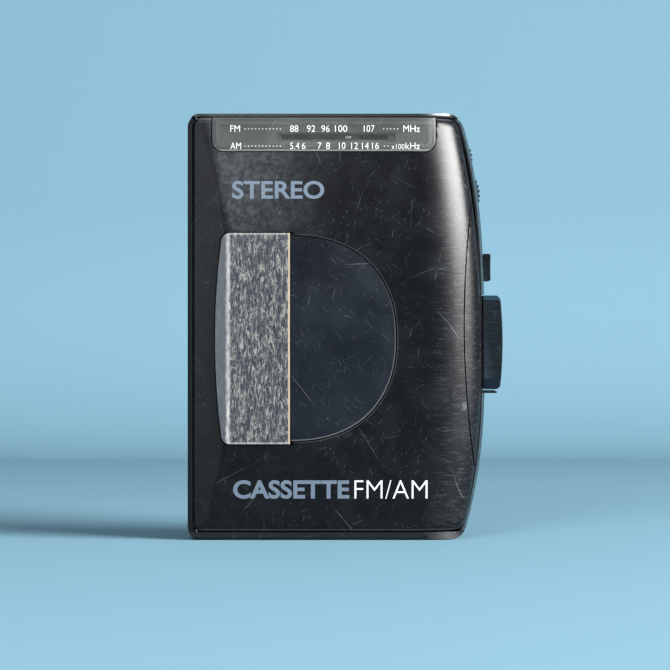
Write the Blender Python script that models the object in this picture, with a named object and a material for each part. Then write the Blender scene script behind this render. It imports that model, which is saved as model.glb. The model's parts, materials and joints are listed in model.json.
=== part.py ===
"""Portable radio cassette player: housing, hinged cassette lid, tape mechanism, radio and battery bay.

The front faces -Y, +X is to the right as seen from the front and +Z is up. The player stands on its
bottom face, whose middle is the origin. Lengths are in metres.
"""

import math

import bmesh
import bpy
from mathutils import Matrix, Vector

MM = 0.001

# Overall body
BODY_HEIGHT = 119 * MM
BODY_HALF_WIDTH = 41.7 * MM
FRONT_Y = -17.5 * MM
BACK_Y = 17.5 * MM
WALL = 1.5 * MM
CLEARANCE = 0.3 * MM
CORNER_RADIUS = 3 * MM
BACK_EDGE_RADIUS = 3 * MM
BASE_LIP = 2.2 * MM
TOP_LIP = 1.1 * MM
LIP_FRONT_Y = -14.5 * MM
PARTING_Y = -8.2 * MM

# Bow of the right-hand side: height of the widest point, then inward drop and power above and below it
HOUSING_WAIST = 45 * MM
HOUSING_BOW_UP = (6.93 * MM, 3.5)
HOUSING_BOW_DOWN = (6.08 * MM, 2.25)
LID_WAIST = 50 * MM
LID_BOW_UP = (7.33 * MM, 2.4)
LID_BOW_DOWN = (5.77 * MM, 2.2)

# Lid
LID_WALL = 1.5 * MM
LID_INSET_LEFT = 1.3 * MM
LID_INSET_RIGHT = 1.1 * MM
LID_LEFT_X = -BODY_HALF_WIDTH + LID_INSET_LEFT
LID_BOTTOM_Z = BASE_LIP + CLEARANCE
LID_TOP_Z = BODY_HEIGHT - TOP_LIP - CLEARANCE
LID_REAR_Y = PARTING_Y - CLEARANCE
LID_EDGE_RADIUS = 1.2 * MM
CROWN_WIDTH = 16.6 * MM
CREASE_X = LID_LEFT_X + 10.6 * MM
FACET_SLOPE = 0.21
BEND_TOP_Z = LID_TOP_Z - 31.6 * MM
BEND_BOTTOM_Z = 27 * MM
BEND_TOP_SLOPE = 0.058
BEND_BOTTOM_SLOPE = 0.067
BEND_SOFTNESS = 14 * MM
HINGE_RADIUS = 1.5 * MM
HINGE_PIN_RADIUS = 0.6 * MM
HINGE_PIN_DEPTH = 7 * MM
HINGE_X = LID_LEFT_X + HINGE_RADIUS
HINGE_Y = LID_REAR_Y - HINGE_RADIUS

# Cassette window: a D-shaped smoked pane with a thick clear band down its left side
BAND_LEFT_X = LID_LEFT_X + 6.7 * MM
BAND_WIDTH = 20.8 * MM
PANE_LEFT_X = BAND_LEFT_X + BAND_WIDTH
PANE_WIDTH = 29.5 * MM
PANE_CENTRE_Z = 56.1 * MM
PANE_HALF_HEIGHT = 28.5 * MM
PANE_POWER = 2.3
PANE_THICKNESS = 1.2 * MM
PANE_RECESS = 0.3 * MM
BAND_BULGE = 1.7 * MM
BAND_HALF_HEIGHT = 29.3 * MM
BAND_CORNER = 2.5 * MM
BAND_PROUD = 0.7 * MM
BAND_THICKNESS = 2.2 * MM

# Leaf springs inside the lid
SPRING_LEFT_X = -28 * MM
SPRING_LENGTH = 16 * MM
SPRING_RISE = 0.9 * MM
SPRING_OFFSET_Z = 36 * MM

# Dial at the top
LENS_LEFT_X = LID_LEFT_X + 5.9 * MM
LENS_RIGHT_X = BODY_HALF_WIDTH - 14.1 * MM
LENS_HEIGHT = 9.4 * MM
LENS_BOTTOM_Z = LID_TOP_Z - LENS_HEIGHT
LENS_CORNER = 3 * MM
LENS_THICKNESS = 1.2 * MM
LENS_SKIRT = 1 * MM
SCALE_Y = -12.2 * MM
SCALE_THICKNESS = 1 * MM
SLOT_LEFT_X = LENS_LEFT_X + 19.1 * MM
SLOT_RIGHT_X = LENS_RIGHT_X - 13.3 * MM
SLOT_BOTTOM_Z = LENS_BOTTOM_Z + 3.4 * MM
SLOT_TOP_Z = SLOT_BOTTOM_Z + 1.4 * MM
POINTER_X = SLOT_LEFT_X + 18.65 * MM
POINTER_WIDTH = 1.7 * MM

# Side seam of the key panel, an arc seen from the front
SEAM_X = BODY_HALF_WIDTH - 6.3 * MM
SEAM_Z = 60 * MM
SEAM_RADIUS = 255 * MM
SEAM_BOTTOM_Z = 20.7 * MM
SEAM_TOP_Z = 94.3 * MM

# Keys, a bank of three side by side through the depth
KEY_BOTTOM_Z = 41.9 * MM
KEY_TOP_Z = 68.2 * MM
KEY_INNER_X = BODY_HALF_WIDTH - 0.5 * MM
KEY_OUTER_X = BODY_HALF_WIDTH + 5.3 * MM
KEY_CROWN = 0.7 * MM
KEY_WIDTH = 7.2 * MM
KEY_PITCH = 7.6 * MM
KEY_FRONT_Y = -7.4 * MM
KEY_TRAVEL = 3 * MM
STEM_HALF_HEIGHT = 4 * MM
RIB_PITCH = 1.9 * MM
RIB_DEPTH = 0.35 * MM
GUIDE_X = BODY_HALF_WIDTH - 5.9 * MM
GUIDE_THICKNESS = 1.2 * MM

# Band selector on the right-hand side
SELECTOR_BOTTOM_Z = 72.4 * MM
SELECTOR_TOP_Z = 80.2 * MM
SELECTOR_OUTER_X = BODY_HALF_WIDTH + 2.1 * MM
SELECTOR_Y = 7 * MM
SELECTOR_TRAVEL = 2.5 * MM

# Thumbwheels, whose rims show through slots in the right-hand side
TUNING_WHEEL = {
    "radius": 11 * MM,
    "x": BODY_HALF_WIDTH - 11.7 * MM,
    "z": BODY_HEIGHT - 22.2 * MM,
    "front": 8.6 * MM,
    "back": 12 * MM,
}
VOLUME_WHEEL = {
    "radius": 8 * MM,
    "x": BODY_HALF_WIDTH - 10.95 * MM,
    "z": BODY_HEIGHT - 12 * MM,
    "front": 5.4 * MM,
    "back": 8 * MM,
}

# Cassette, 100.4 x 63.8 x 12 mm, its tape edge towards the keys
CASSETTE_LEFT_X = LID_LEFT_X + 3.6 * MM
HUB_X = CASSETTE_LEFT_X + 29 * MM
HUB_MIDDLE_Z = 54.5 * MM
HUB_SPACING = 42.5 * MM

# Deck and tape drive
DECK_FRONT_Y = -3.4 * MM
DECK_THICKNESS = 1 * MM
DRIVE_FRONT_Y = -1.9 * MM
DRIVE_BACK_Y = -0.2 * MM
REEL_RADIUS = 8 * MM
HUB_BASE_RADIUS = 3 * MM
HUB_RADIUS = 2.4 * MM
HUB_TIP_Y = -11.5 * MM
CAPSTAN_X = CASSETTE_LEFT_X + 60 * MM
CAPSTAN_Z = 17 * MM
CAPSTAN_RADIUS = 1 * MM
BUSH_RADIUS = 2.6 * MM
FLYWHEEL_RADIUS = 11 * MM
IDLER_RADIUS = 7.7 * MM
MOTOR_X = 7 * MM
MOTOR_Z = 60 * MM
MOTOR_RADIUS = 10 * MM
MOTOR_FRONT_Y = 0.9 * MM
MOTOR_LENGTH = 12 * MM
PULLEY_RADIUS = 3 * MM
BELT_WIDTH = 0.7 * MM
HEAD_LEFT_X = CASSETTE_LEFT_X + 64.5 * MM
HEAD_RIGHT_X = HEAD_LEFT_X + 5 * MM
STEM_INNER_X = HEAD_RIGHT_X + CLEARANCE
HEAD_HALF_HEIGHT = 6 * MM
PIVOT_X = CAPSTAN_X + 9 * MM
PIVOT_Z = 32 * MM
ROLLER_X = CAPSTAN_X + 7 * MM
ROLLER_RADIUS = 3.5 * MM
ROLLER_FRONT_Y = -11.2 * MM
ROLLER_PIN_RADIUS = 0.8 * MM
ARM_FRONT_Y = -5 * MM
ARM_BACK_Y = -4 * MM

# Radio board
BOARD_FRONT_Y = 0.6 * MM
BOARD_THICKNESS = 1 * MM
BOARD_BOTTOM_Z = 72 * MM
BOARD_TOP_Z = BODY_HEIGHT - 2.8 * MM
BOARD_RIGHT_X = BODY_HALF_WIDTH - 8.7 * MM
ROD_Z = BODY_HEIGHT - 13.6 * MM
ROD_LEFT_X = -30 * MM
ROD_LENGTH = 42 * MM
ROD_RADIUS = 2.4 * MM
COIL_RADIUS = 3.2 * MM
COIL_LENGTH = 16 * MM

# Sockets in the left-hand side, as (height, collar radius)
JACK_Y = 5.2 * MM
JACKS = {"headphone_jack": (94 * MM, 2.9 * MM), "power_jack": (80 * MM, 2.6 * MM)}

# Battery bay for two AA cells, 14.5 mm across and 50.5 mm long, lying side by side
CELL_DIAMETER = 14.5 * MM
BAY_LEFT_X = -BODY_HALF_WIDTH + 3.8 * MM
BAY_LENGTH = 54.8 * MM
BAY_RIGHT_X = BAY_LEFT_X + BAY_LENGTH
BAY_BOTTOM_Z = 3.2 * MM
BAY_TOP_Z = BAY_BOTTOM_Z + 2 * CELL_DIAMETER + 1.2 * MM
BAY_WALL = 1.3 * MM
BAY_FLOOR_Y = 1.3 * MM
COVER_THICKNESS = 1.4 * MM
COVER_MARGIN = 1 * MM
COVER_HINGE_RADIUS = 1.45 * MM
COVER_PIN_RADIUS = 0.7 * MM

# Screws from the back, at (x, z)
SCREW_PLACES = (
    (-BODY_HALF_WIDTH + 6.2 * MM, BODY_HEIGHT - 6.5 * MM),
    (17 * MM, BODY_HEIGHT - 6.5 * MM),
    (-BODY_HALF_WIDTH + 6.2 * MM, 42 * MM),
    (BODY_HALF_WIDTH - 9.7 * MM, 4.9 * MM),
)
POST_RADIUS = 2.6 * MM
SCREW_RADIUS = 0.8 * MM
SCREW_LENGTH = 8 * MM
SCREW_HEAD_RADIUS = 1.9 * MM
SCREW_HEAD_DEPTH = 1.2 * MM

# Colour, roughness and metallic value of each material
MATERIALS = {
    "black_plastic": ((0.012, 0.014, 0.018), 0.38, 0.0),
    "smoked_window": ((0.010, 0.013, 0.024), 0.15, 0.0),
    "clear_band": ((0.30, 0.31, 0.31), 0.45, 0.0),
    "dial_grey": ((0.14, 0.14, 0.135), 0.30, 0.0),
    "light_grey": ((0.55, 0.56, 0.56), 0.45, 0.0),
    "key_plastic": ((0.012, 0.018, 0.025), 0.45, 0.0),
    "inner_plastic": ((0.03, 0.03, 0.032), 0.55, 0.0),
    "steel": ((0.55, 0.55, 0.56), 0.30, 1.0),
    "brass": ((0.60, 0.42, 0.16), 0.30, 1.0),
    "rubber": ((0.015, 0.015, 0.015), 0.80, 0.0),
    "white_plastic": ((0.75, 0.74, 0.70), 0.50, 0.0),
    "board_brown": ((0.20, 0.10, 0.03), 0.60, 0.0),
    "ferrite": ((0.05, 0.045, 0.045), 0.60, 0.2),
    "copper_wire": ((0.55, 0.22, 0.08), 0.35, 1.0),
}


def material(name):
    """The named Principled material, made once."""
    found = bpy.data.materials.get(name)
    if found:
        return found
    colour, roughness, metallic = MATERIALS[name]
    made = bpy.data.materials.new(name)
    made.use_nodes = True
    shader = made.node_tree.nodes["Principled BSDF"]
    shader.inputs["Base Color"].default_value = (*colour, 1)
    shader.inputs["Roughness"].default_value = roughness
    shader.inputs["Metallic"].default_value = metallic
    made.diffuse_color = (*colour, 1)
    return made


def solid(name, points, faces, finish=None, origin=(0, 0, 0)):
    """A closed mesh object from points and faces; without a finish it is a hidden helper."""
    mesh = bpy.data.meshes.new(name)
    mesh.from_pydata([Vector(point) - Vector(origin) for point in points], [], faces)
    tidy = bmesh.new()
    tidy.from_mesh(mesh)
    bmesh.ops.remove_doubles(tidy, verts=tidy.verts, dist=1e-7)
    bmesh.ops.recalc_face_normals(tidy, faces=tidy.faces)
    tidy.to_mesh(mesh)
    tidy.free()
    mesh.shade_smooth()
    mesh.set_sharp_from_angle(angle=math.radians(35))
    made = bpy.data.objects.new(name, mesh)
    made.location = origin
    bpy.context.scene.collection.objects.link(made)
    if finish:
        mesh.materials.append(material(finish))
    else:
        made.hide_render = True
        made.display_type = "WIRE"
    return made


def stack(name, rings, finish=None, origin=(0, 0, 0)):
    """A solid through closed rings that all have the same number of points."""
    count = len(rings[0])
    points = [point for ring in rings for point in ring]
    faces = [tuple(range(count)), tuple(range(len(points) - count, len(points)))]
    for level in range(len(rings) - 1):
        for i in range(count):
            start = level * count
            follow = (i + 1) % count
            faces.append((start + i, start + follow, start + count + follow, start + count + i))
    return solid(name, points, faces, finish, origin)


def box(name, low, high, finish=None, origin=(0, 0, 0)):
    rings = []
    for y in (low[1], high[1]):
        rings.append([(low[0], y, low[2]), (high[0], y, low[2]), (high[0], y, high[2]), (low[0], y, high[2])])
    return stack(name, rings, finish, origin)


def prism(name, outline, front, back, finish=None, origin=(0, 0, 0)):
    """An outline of (x, z) points carried through the depth; front and back are heights or functions."""
    def level(depth):
        return [(x, depth(x, z) if callable(depth) else depth, z) for x, z in outline]
    return stack(name, [level(front), level(back)], finish, origin)


def turned(name, axis, centre, profile, finish=None, sides=24, ring=False):
    """A turned piece: profile points are (radius, place along the axis). A ring profile closes on itself."""
    axis_index = "XYZ".index(axis)
    first = (axis_index + 1) % 3
    second = (axis_index + 2) % 3
    points = []
    for radius, along in profile:
        for i in range(sides):
            turn = 2 * math.pi * i / sides
            point = [0.0, 0.0, 0.0]
            point[axis_index] = along
            point[first] = centre[first] + radius * math.cos(turn)
            point[second] = centre[second] + radius * math.sin(turn)
            points.append(point)
    levels = len(profile)
    faces = []
    for level in range(levels if ring else levels - 1):
        low = level * sides
        high = (level + 1) % levels * sides
        for i in range(sides):
            follow = (i + 1) % sides
            faces.append((low + i, low + follow, high + follow, high + i))
    if not ring:
        faces.append(tuple(range(sides)))
        faces.append(tuple(range((levels - 1) * sides, levels * sides)))
    return solid(name, points, faces, finish, centre if finish else (0, 0, 0))


def rod(name, axis, centre, radius, start, end, finish=None, sides=20):
    return turned(name, axis, centre, [(radius, start), (radius, end)], finish, sides)


def coil(name, axis, centre, radius, wire, start, end, turns, finish, steps=9, sides=4):
    """A helical spring along an axis, in round wire."""
    axis_index = "XYZ".index(axis)
    first = (axis_index + 1) % 3
    second = (axis_index + 2) % 3
    rings = []
    total = turns * steps
    for step in range(total + 1):
        turn = 2 * math.pi * step / steps
        along = start + wire + (end - start - 2 * wire) * step / total
        ring = []
        for side in range(sides):
            around = 2 * math.pi * side / sides
            reach = radius + wire * math.cos(around)
            point = [0.0, 0.0, 0.0]
            point[axis_index] = along + wire * math.sin(around)
            point[first] = centre[first] + reach * math.cos(turn)
            point[second] = centre[second] + reach * math.sin(turn)
            ring.append(point)
        rings.append(ring)
    return stack(name, rings, finish)


def use_boolean(target, operation, helpers):
    for helper in helpers:
        step = target.modifiers.new(operation.lower() + "_" + helper.name, "BOOLEAN")
        step.operation = operation
        step.solver = "EXACT"
        step.object = helper


def cut(target, *helpers):
    use_boolean(target, "DIFFERENCE", helpers)


def join(target, *helpers):
    use_boolean(target, "UNION", helpers)


def keep_inside(target, helper):
    use_boolean(target, "INTERSECT", [helper])


def bowed_edge(z, widest, waist, bow_up, bow_down):
    """X of a right-hand edge that bows outwards at its waist."""
    drop, power = bow_up if z > waist else bow_down
    reach = BODY_HEIGHT - waist if z > waist else waist
    return widest - drop * (abs(z - waist) / reach) ** power


def housing_edge(z):
    return bowed_edge(z, BODY_HALF_WIDTH, HOUSING_WAIST, HOUSING_BOW_UP, HOUSING_BOW_DOWN)


def lid_edge(z):
    widest = BODY_HALF_WIDTH - LID_INSET_RIGHT
    return bowed_edge(z, widest, LID_WAIST, LID_BOW_UP, LID_BOW_DOWN)


def corner_inset(distance, radius):
    """How far an edge stands in, this close to a rounded corner of that radius."""
    if distance >= radius:
        return 0.0
    return radius - math.sqrt(max(radius**2 - (radius - distance) ** 2, 0))


def heights(bottom, top, radius, between):
    """Heights from bottom to top, close together in the rounded corners."""
    bends = [radius * (1 - math.cos(math.radians(angle))) for angle in (0, 30, 60, 90)]
    middle = [bottom + radius + (top - bottom - 2 * radius) * i / between for i in range(1, between)]
    return [bottom + bend for bend in bends] + middle + [top - bend for bend in reversed(bends)]


def housing_outline(inset):
    """The housing's outline as (x, z), stepped in by the inset."""
    radius = CORNER_RADIUS - min(inset, CORNER_RADIUS / 2)
    bottom = inset
    top = BODY_HEIGHT - inset
    right_side = []
    left_side = []
    for z in heights(bottom, top, radius, 12):
        distance = min(z - bottom, top - z)
        right_side.append((housing_edge(z) - inset - corner_inset(distance, radius), z))
    for z in heights(bottom, top, radius, 2):
        distance = min(z - bottom, top - z)
        left_side.append((-BODY_HALF_WIDTH + inset + corner_inset(distance, radius), z))
    return right_side + left_side[::-1]


def housing_stack(name, levels, finish=None):
    """The housing's outline carried through (y, inset) levels."""
    rings = []
    for y, inset in levels:
        rings.append([(x, y, z) for x, z in housing_outline(inset)])
    return stack(name, rings, finish)


def rounded_back(inset):
    """(y, inset) levels of a rounded back edge."""
    radius = BACK_EDGE_RADIUS - min(inset, BACK_EDGE_RADIUS / 2)
    back = BACK_Y - inset
    levels = []
    for angle in (0, 30, 60, 90):
        turn = math.radians(angle)
        levels.append((back - radius + radius * math.sin(turn), inset + radius * (1 - math.cos(turn))))
    return levels


def soft_ramp(distance):
    """Zero well before the start, rising in step with the distance after it."""
    return (distance + math.sqrt(distance**2 + BEND_SOFTNESS**2)) / 2


def face_bend(z):
    """How far the front face falls back towards the top and bottom."""
    fall = BEND_TOP_SLOPE * soft_ramp(z - BEND_TOP_Z) + BEND_BOTTOM_SLOPE * soft_ramp(BEND_BOTTOM_Z - z)
    middle = (BEND_TOP_Z + BEND_BOTTOM_Z) / 2
    least = BEND_TOP_SLOPE * soft_ramp(middle - BEND_TOP_Z) + BEND_BOTTOM_SLOPE * soft_ramp(BEND_BOTTOM_Z - middle)
    return max(fall - least, 0)


def crease_x(z):
    """Where the left facet meets the main face."""
    return CREASE_X - face_bend(z) / FACET_SLOPE


def lid_front(x, z):
    """Y of the lid's front surface, without the rounding of its rim."""
    flat = FRONT_Y + face_bend(z)
    crown_start = lid_edge(z) - CROWN_WIDTH
    if x > crown_start:
        along = min((x - crown_start) / CROWN_WIDTH, 1)
        return LID_REAR_Y - (LID_REAR_Y - flat) * math.sqrt(1 - along**2)
    return max(flat, FRONT_Y + FACET_SLOPE * (CREASE_X - x))


def lid_section(z):
    """One level of the lid's outer shape, from its rear left round the front to its rear right."""
    rim = corner_inset(min(z - LID_BOTTOM_Z, LID_TOP_Z - z), LID_EDGE_RADIUS)
    points = []
    for angle in (90, 60, 30, 0):
        turn = math.radians(angle)
        x = HINGE_X - HINGE_RADIUS * math.cos(turn)
        points.append((x, HINGE_Y + HINGE_RADIUS * math.sin(turn)))
    for angle in (0, 30, 60, 90):
        turn = math.radians(angle)
        x = LID_LEFT_X + LID_EDGE_RADIUS * (1 - math.cos(turn))
        y = lid_front(x, z) + LID_EDGE_RADIUS * (1 - math.sin(turn))
        points.append((x, y + rim))
    crease = max(crease_x(z), LID_LEFT_X + LID_EDGE_RADIUS + 0.3 * MM)
    crown_start = lid_edge(z) - CROWN_WIDTH
    flat = FRONT_Y + face_bend(z)
    for share in (0, 0.25, 0.5, 0.75):
        points.append((crease + (crown_start - crease) * share, flat + rim))
    for angle in range(0, 91, 9):
        turn = math.radians(angle)
        y = LID_REAR_Y - (LID_REAR_Y - flat - rim) * math.cos(turn)
        points.append((crown_start + CROWN_WIDTH * math.sin(turn), y))
    return [(x, y, z) for x, y in points]


def lid_body(name, finish=None, origin=(0, 0, 0)):
    levels = heights(LID_BOTTOM_Z, LID_TOP_Z, LID_EDGE_RADIUS, 22)
    return stack(name, [lid_section(z) for z in levels], finish, origin)


def lid_hollow(name):
    """The space inside the lid, open at its rear."""
    deep = LID_REAR_Y + 4 * MM
    step_y = HINGE_Y - HINGE_RADIUS
    rings = []
    bottom = LID_BOTTOM_Z + LID_WALL
    top = LID_TOP_Z - LID_WALL
    for i in range(15):
        z = bottom + (top - bottom) * i / 14
        flat = FRONT_Y + face_bend(z) + LID_WALL
        left = LID_LEFT_X + LID_WALL
        crown_start = lid_edge(z) - CROWN_WIDTH
        points = [(HINGE_X + HINGE_RADIUS, deep), (HINGE_X + HINGE_RADIUS, step_y), (left, step_y)]
        points.append((left, FRONT_Y + FACET_SLOPE * (CREASE_X - left) + LID_WALL))
        points.append((max(crease_x(z), left + 0.3 * MM), flat))
        for angle in range(0, 91, 15):
            turn = math.radians(angle)
            x = crown_start + (CROWN_WIDTH - LID_WALL) * math.sin(turn)
            points.append((x, LID_REAR_Y - (LID_REAR_Y - flat) * math.cos(turn)))
        points.append((crown_start + CROWN_WIDTH - LID_WALL, deep))
        rings.append([(x, y, z) for x, y in points])
    return stack(name, rings)


def pane_outline(inset, left):
    """The D of the window from its straight left side, with a superelliptic right side."""
    width = PANE_WIDTH - inset
    height = PANE_HALF_HEIGHT - inset
    outline = [(left, PANE_CENTRE_Z - height)]
    for i in range(1, 24):
        turn = math.radians(-90 + 180 * i / 24)
        across = math.cos(turn) ** (2 / PANE_POWER)
        along = math.copysign(abs(math.sin(turn)) ** (2 / PANE_POWER), turn)
        outline.append((PANE_LEFT_X + width * across, PANE_CENTRE_Z + height * along))
    outline.append((left, PANE_CENTRE_Z + height))
    return outline


def band_outline(inset, right):
    """The band: straight on the right, bulging on the left, with two rounded corners."""
    half = BAND_HALF_HEIGHT - inset
    outline = [(right, PANE_CENTRE_Z - half)]
    corner_x = BAND_LEFT_X + BAND_BULGE + BAND_CORNER
    for side in (-1, 1):
        arc = []
        for angle in (0, 30, 60, 90):
            turn = math.radians(angle)
            x = corner_x - (BAND_CORNER - inset) * math.sin(turn)
            arc.append((x, PANE_CENTRE_Z + side * (half - BAND_CORNER + BAND_CORNER * math.cos(turn))))
        outline += arc if side < 0 else arc[::-1]
        if side < 0:
            straight = half - BAND_CORNER
            for step in (-2, -1, 0, 1, 2):
                share = step / 3
                bulge = BAND_BULGE * (1 - share**2)
                outline.append((BAND_LEFT_X + BAND_BULGE + inset - bulge, PANE_CENTRE_Z + straight * share))
    outline.append((right, PANE_CENTRE_Z + half))
    return outline


def lens_outline(inset, top):
    """The dial lens: square at the top, rounded at its two bottom corners."""
    left = LENS_LEFT_X + inset
    right = LENS_RIGHT_X - inset
    bottom = LENS_BOTTOM_Z + inset
    radius = LENS_CORNER - min(inset, LENS_CORNER / 2)
    outline = [(left, top)]
    for angle in (0, 30, 60, 90):
        turn = math.radians(angle)
        outline.append((left + radius * (1 - math.cos(turn)), bottom + radius * (1 - math.sin(turn))))
    for angle in (90, 60, 30, 0):
        turn = math.radians(angle)
        outline.append((right - radius * (1 - math.cos(turn)), bottom + radius * (1 - math.sin(turn))))
    outline.append((right, top))
    return outline


def seam_outline(offset):
    """The region right of the key panel's seam, stepped in by the offset."""
    bottom = SEAM_BOTTOM_Z + offset
    top = SEAM_TOP_Z - offset
    far = BODY_HALF_WIDTH + 10 * MM
    outline = [(far, top), (far, bottom)]
    for i in range(13):
        z = bottom + (top - bottom) * i / 12
        outline.append((SEAM_X + offset + (z - SEAM_Z) ** 2 / (2 * SEAM_RADIUS), z))
    return outline


def make_housing():
    levels = [(LIP_FRONT_Y, 0.8 * MM), (LIP_FRONT_Y + 0.4 * MM, 0.25 * MM), (LIP_FRONT_Y + 1 * MM, 0)]
    housing = housing_stack("rear_housing", levels + rounded_back(0), "black_plastic")
    far = BODY_HALF_WIDTH + 10 * MM
    trim_low = (-far, FRONT_Y - 1 * MM, BASE_LIP)
    trim_high = (far, PARTING_Y, BODY_HEIGHT - TOP_LIP)
    trim = box("housing_trim", trim_low, trim_high)
    hollow = housing_stack("housing_hollow", [(PARTING_Y - CLEARANCE, WALL)] + rounded_back(WALL))
    cut(housing, trim, hollow)
    add_bay(housing)
    add_posts(housing)
    cut_side_openings(housing)
    cut_hinge_holes(housing)
    return housing


def add_bay(housing):
    """The battery bay is a box inside the housing, open to the back."""
    skin = BAY_WALL + COVER_MARGIN
    back_inside = BACK_Y - WALL
    low = (BAY_LEFT_X - skin - 1 * MM, BAY_FLOOR_Y - 1 * MM, WALL / 2)
    high = (BAY_RIGHT_X + skin, back_inside + WALL / 2, BAY_TOP_Z + BAY_WALL + 2 * COVER_HINGE_RADIUS)
    shell = box("bay_shell", low, high)
    top = BAY_TOP_Z + 2 * COVER_HINGE_RADIUS - 0.5 * MM
    room = box("bay_room", (BAY_LEFT_X, BAY_FLOOR_Y, BAY_BOTTOM_Z), (BAY_RIGHT_X, BACK_Y + 5 * MM, BAY_TOP_Z))
    left = BAY_LEFT_X - COVER_MARGIN - CLEARANCE
    right = BAY_RIGHT_X + COVER_MARGIN + CLEARANCE
    seat_y = BACK_Y - COVER_THICKNESS - CLEARANCE
    seat = box("cover_seat", (left, seat_y, BAY_BOTTOM_Z), (right, BACK_Y + 5 * MM, top))
    hinge_gap = COVER_HINGE_RADIUS + CLEARANCE
    centre = (0, cover_hinge_y(), cover_hinge_z())
    groove = rod("cover_groove", "X", centre, hinge_gap, left, right, sides=20)
    holes = rod("cover_pin_holes", "X", centre, COVER_PIN_RADIUS + CLEARANCE, left - 1.2 * MM, right + 1.2 * MM)
    join(housing, shell)
    cut(housing, room, seat, groove, holes)


def cover_hinge_y():
    return BACK_Y - COVER_HINGE_RADIUS


def cover_hinge_z():
    return BAY_TOP_Z + COVER_HINGE_RADIUS - 0.7 * MM


def add_posts(housing):
    """Posts from the back wall carry the deck, the board and the motor."""
    back_inside = BACK_Y - WALL
    for number, (x, z) in enumerate(SCREW_PLACES):
        on_board = z > BOARD_BOTTOM_Z
        front = BOARD_FRONT_Y + BOARD_THICKNESS if on_board else DECK_FRONT_Y + DECK_THICKNESS
        post = rod(f"post_{number}", "Y", (x, 0, z), POST_RADIUS, front + CLEARANCE, back_inside + WALL / 2)
        join(housing, post)
    rear = MOTOR_FRONT_Y + MOTOR_LENGTH + CLEARANCE
    cradle = rod("motor_cradle", "Y", (MOTOR_X, 0, MOTOR_Z), 4 * MM, rear, back_inside + WALL / 2)
    join(housing, cradle)
    for number, (x, z) in enumerate(SCREW_PLACES):
        bore_front = BACK_Y - SCREW_HEAD_DEPTH - SCREW_LENGTH - 2 * CLEARANCE
        head_front = BACK_Y - SCREW_HEAD_DEPTH - 2 * CLEARANCE
        profile = [
            (SCREW_RADIUS + CLEARANCE, bore_front),
            (SCREW_RADIUS + CLEARANCE, head_front),
            (SCREW_HEAD_RADIUS + CLEARANCE, head_front + 0.1 * MM),
            (SCREW_HEAD_RADIUS + CLEARANCE, BACK_Y + 1 * MM),
        ]
        cut(housing, turned(f"screw_hole_{number}", "Y", (x, 0, z), profile, sides=16))


def cut_side_openings(housing):
    """Openings for the keys, the selector, the thumbwheels and the two sockets."""
    inner = BODY_HALF_WIDTH - 8 * MM
    outer = BODY_HALF_WIDTH + 5 * MM
    gap = CLEARANCE
    bank_back = KEY_FRONT_Y + 2 * KEY_PITCH + KEY_WIDTH
    keys_low = (GUIDE_X, KEY_FRONT_Y - gap, KEY_BOTTOM_Z - gap)
    keys = box("keys_opening", keys_low, (outer, bank_back + gap, KEY_TOP_Z + gap))
    middle = (SELECTOR_BOTTOM_Z + SELECTOR_TOP_Z) / 2
    reach = 1.5 * MM + SELECTOR_TRAVEL + gap
    selector_low = (inner, SELECTOR_Y - 1.5 * MM, middle - reach)
    selector = box("selector_opening", selector_low, (outer, SELECTOR_Y + 1.5 * MM, middle + reach))
    cut(housing, keys, selector)
    for name, wheel in (("tuning", TUNING_WHEEL), ("volume", VOLUME_WHEEL)):
        radius = wheel["radius"] + 2 * gap
        place = (wheel["x"], 0, wheel["z"])
        cut(housing, rod(name + "_slot", "Y", place, radius, wheel["front"] - gap, wheel["back"] + gap, sides=40))
    for number, (z, radius) in enumerate(JACKS.values()):
        cut(housing, rod(f"jack_hole_{number}", "X", (0, JACK_Y, z), radius + gap, -outer, -inner, sides=16))


def cut_hinge_holes(housing):
    radius = HINGE_PIN_RADIUS + CLEARANCE
    place = (HINGE_X, HINGE_Y, 0)
    top = rod("hinge_hole_top", "Z", place, radius, LID_TOP_Z - 2 * MM, BODY_HEIGHT - 0.4 * MM, sides=16)
    bottom = rod("hinge_hole_bottom", "Z", place, radius, 1 * MM, LID_BOTTOM_Z + 2 * MM, sides=16)
    cut(housing, top, bottom)


def make_lid():
    origin = (HINGE_X, HINGE_Y, 0)
    lid = lid_body("front_lid", "black_plastic", origin)
    deep = LID_REAR_Y + 2 * MM
    front = FRONT_Y - 2 * MM
    cut(lid, lid_hollow("lid_hollow"))
    cut(lid, prism("lid_side_cut", seam_outline(0), front, deep))
    cut(lid, prism("lid_dial_notch", lens_outline(-CLEARANCE, LID_TOP_Z + 1 * MM), front, deep))
    window = prism("lid_pane_hole", pane_outline(-CLEARANCE, PANE_LEFT_X - 2 * MM), front, deep - 5 * MM)
    band = prism("lid_band_hole", band_outline(-CLEARANCE, PANE_LEFT_X + 1 * MM), front - 1 * MM, deep - 4 * MM)
    cut(lid, window, band)
    cut_lid_pin_holes(lid)
    return lid


def cut_lid_pin_holes(lid):
    radius = HINGE_PIN_RADIUS + CLEARANCE
    place = (HINGE_X, HINGE_Y, 0)
    depth = HINGE_PIN_DEPTH + CLEARANCE
    top = rod("lid_hole_top", "Z", place, radius, LID_TOP_Z - depth, LID_TOP_Z + 1 * MM, sides=16)
    bottom = rod("lid_hole_bottom", "Z", place, radius, LID_BOTTOM_Z - 1 * MM, LID_BOTTOM_Z + depth, sides=16)
    cut(lid, top, bottom)


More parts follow.
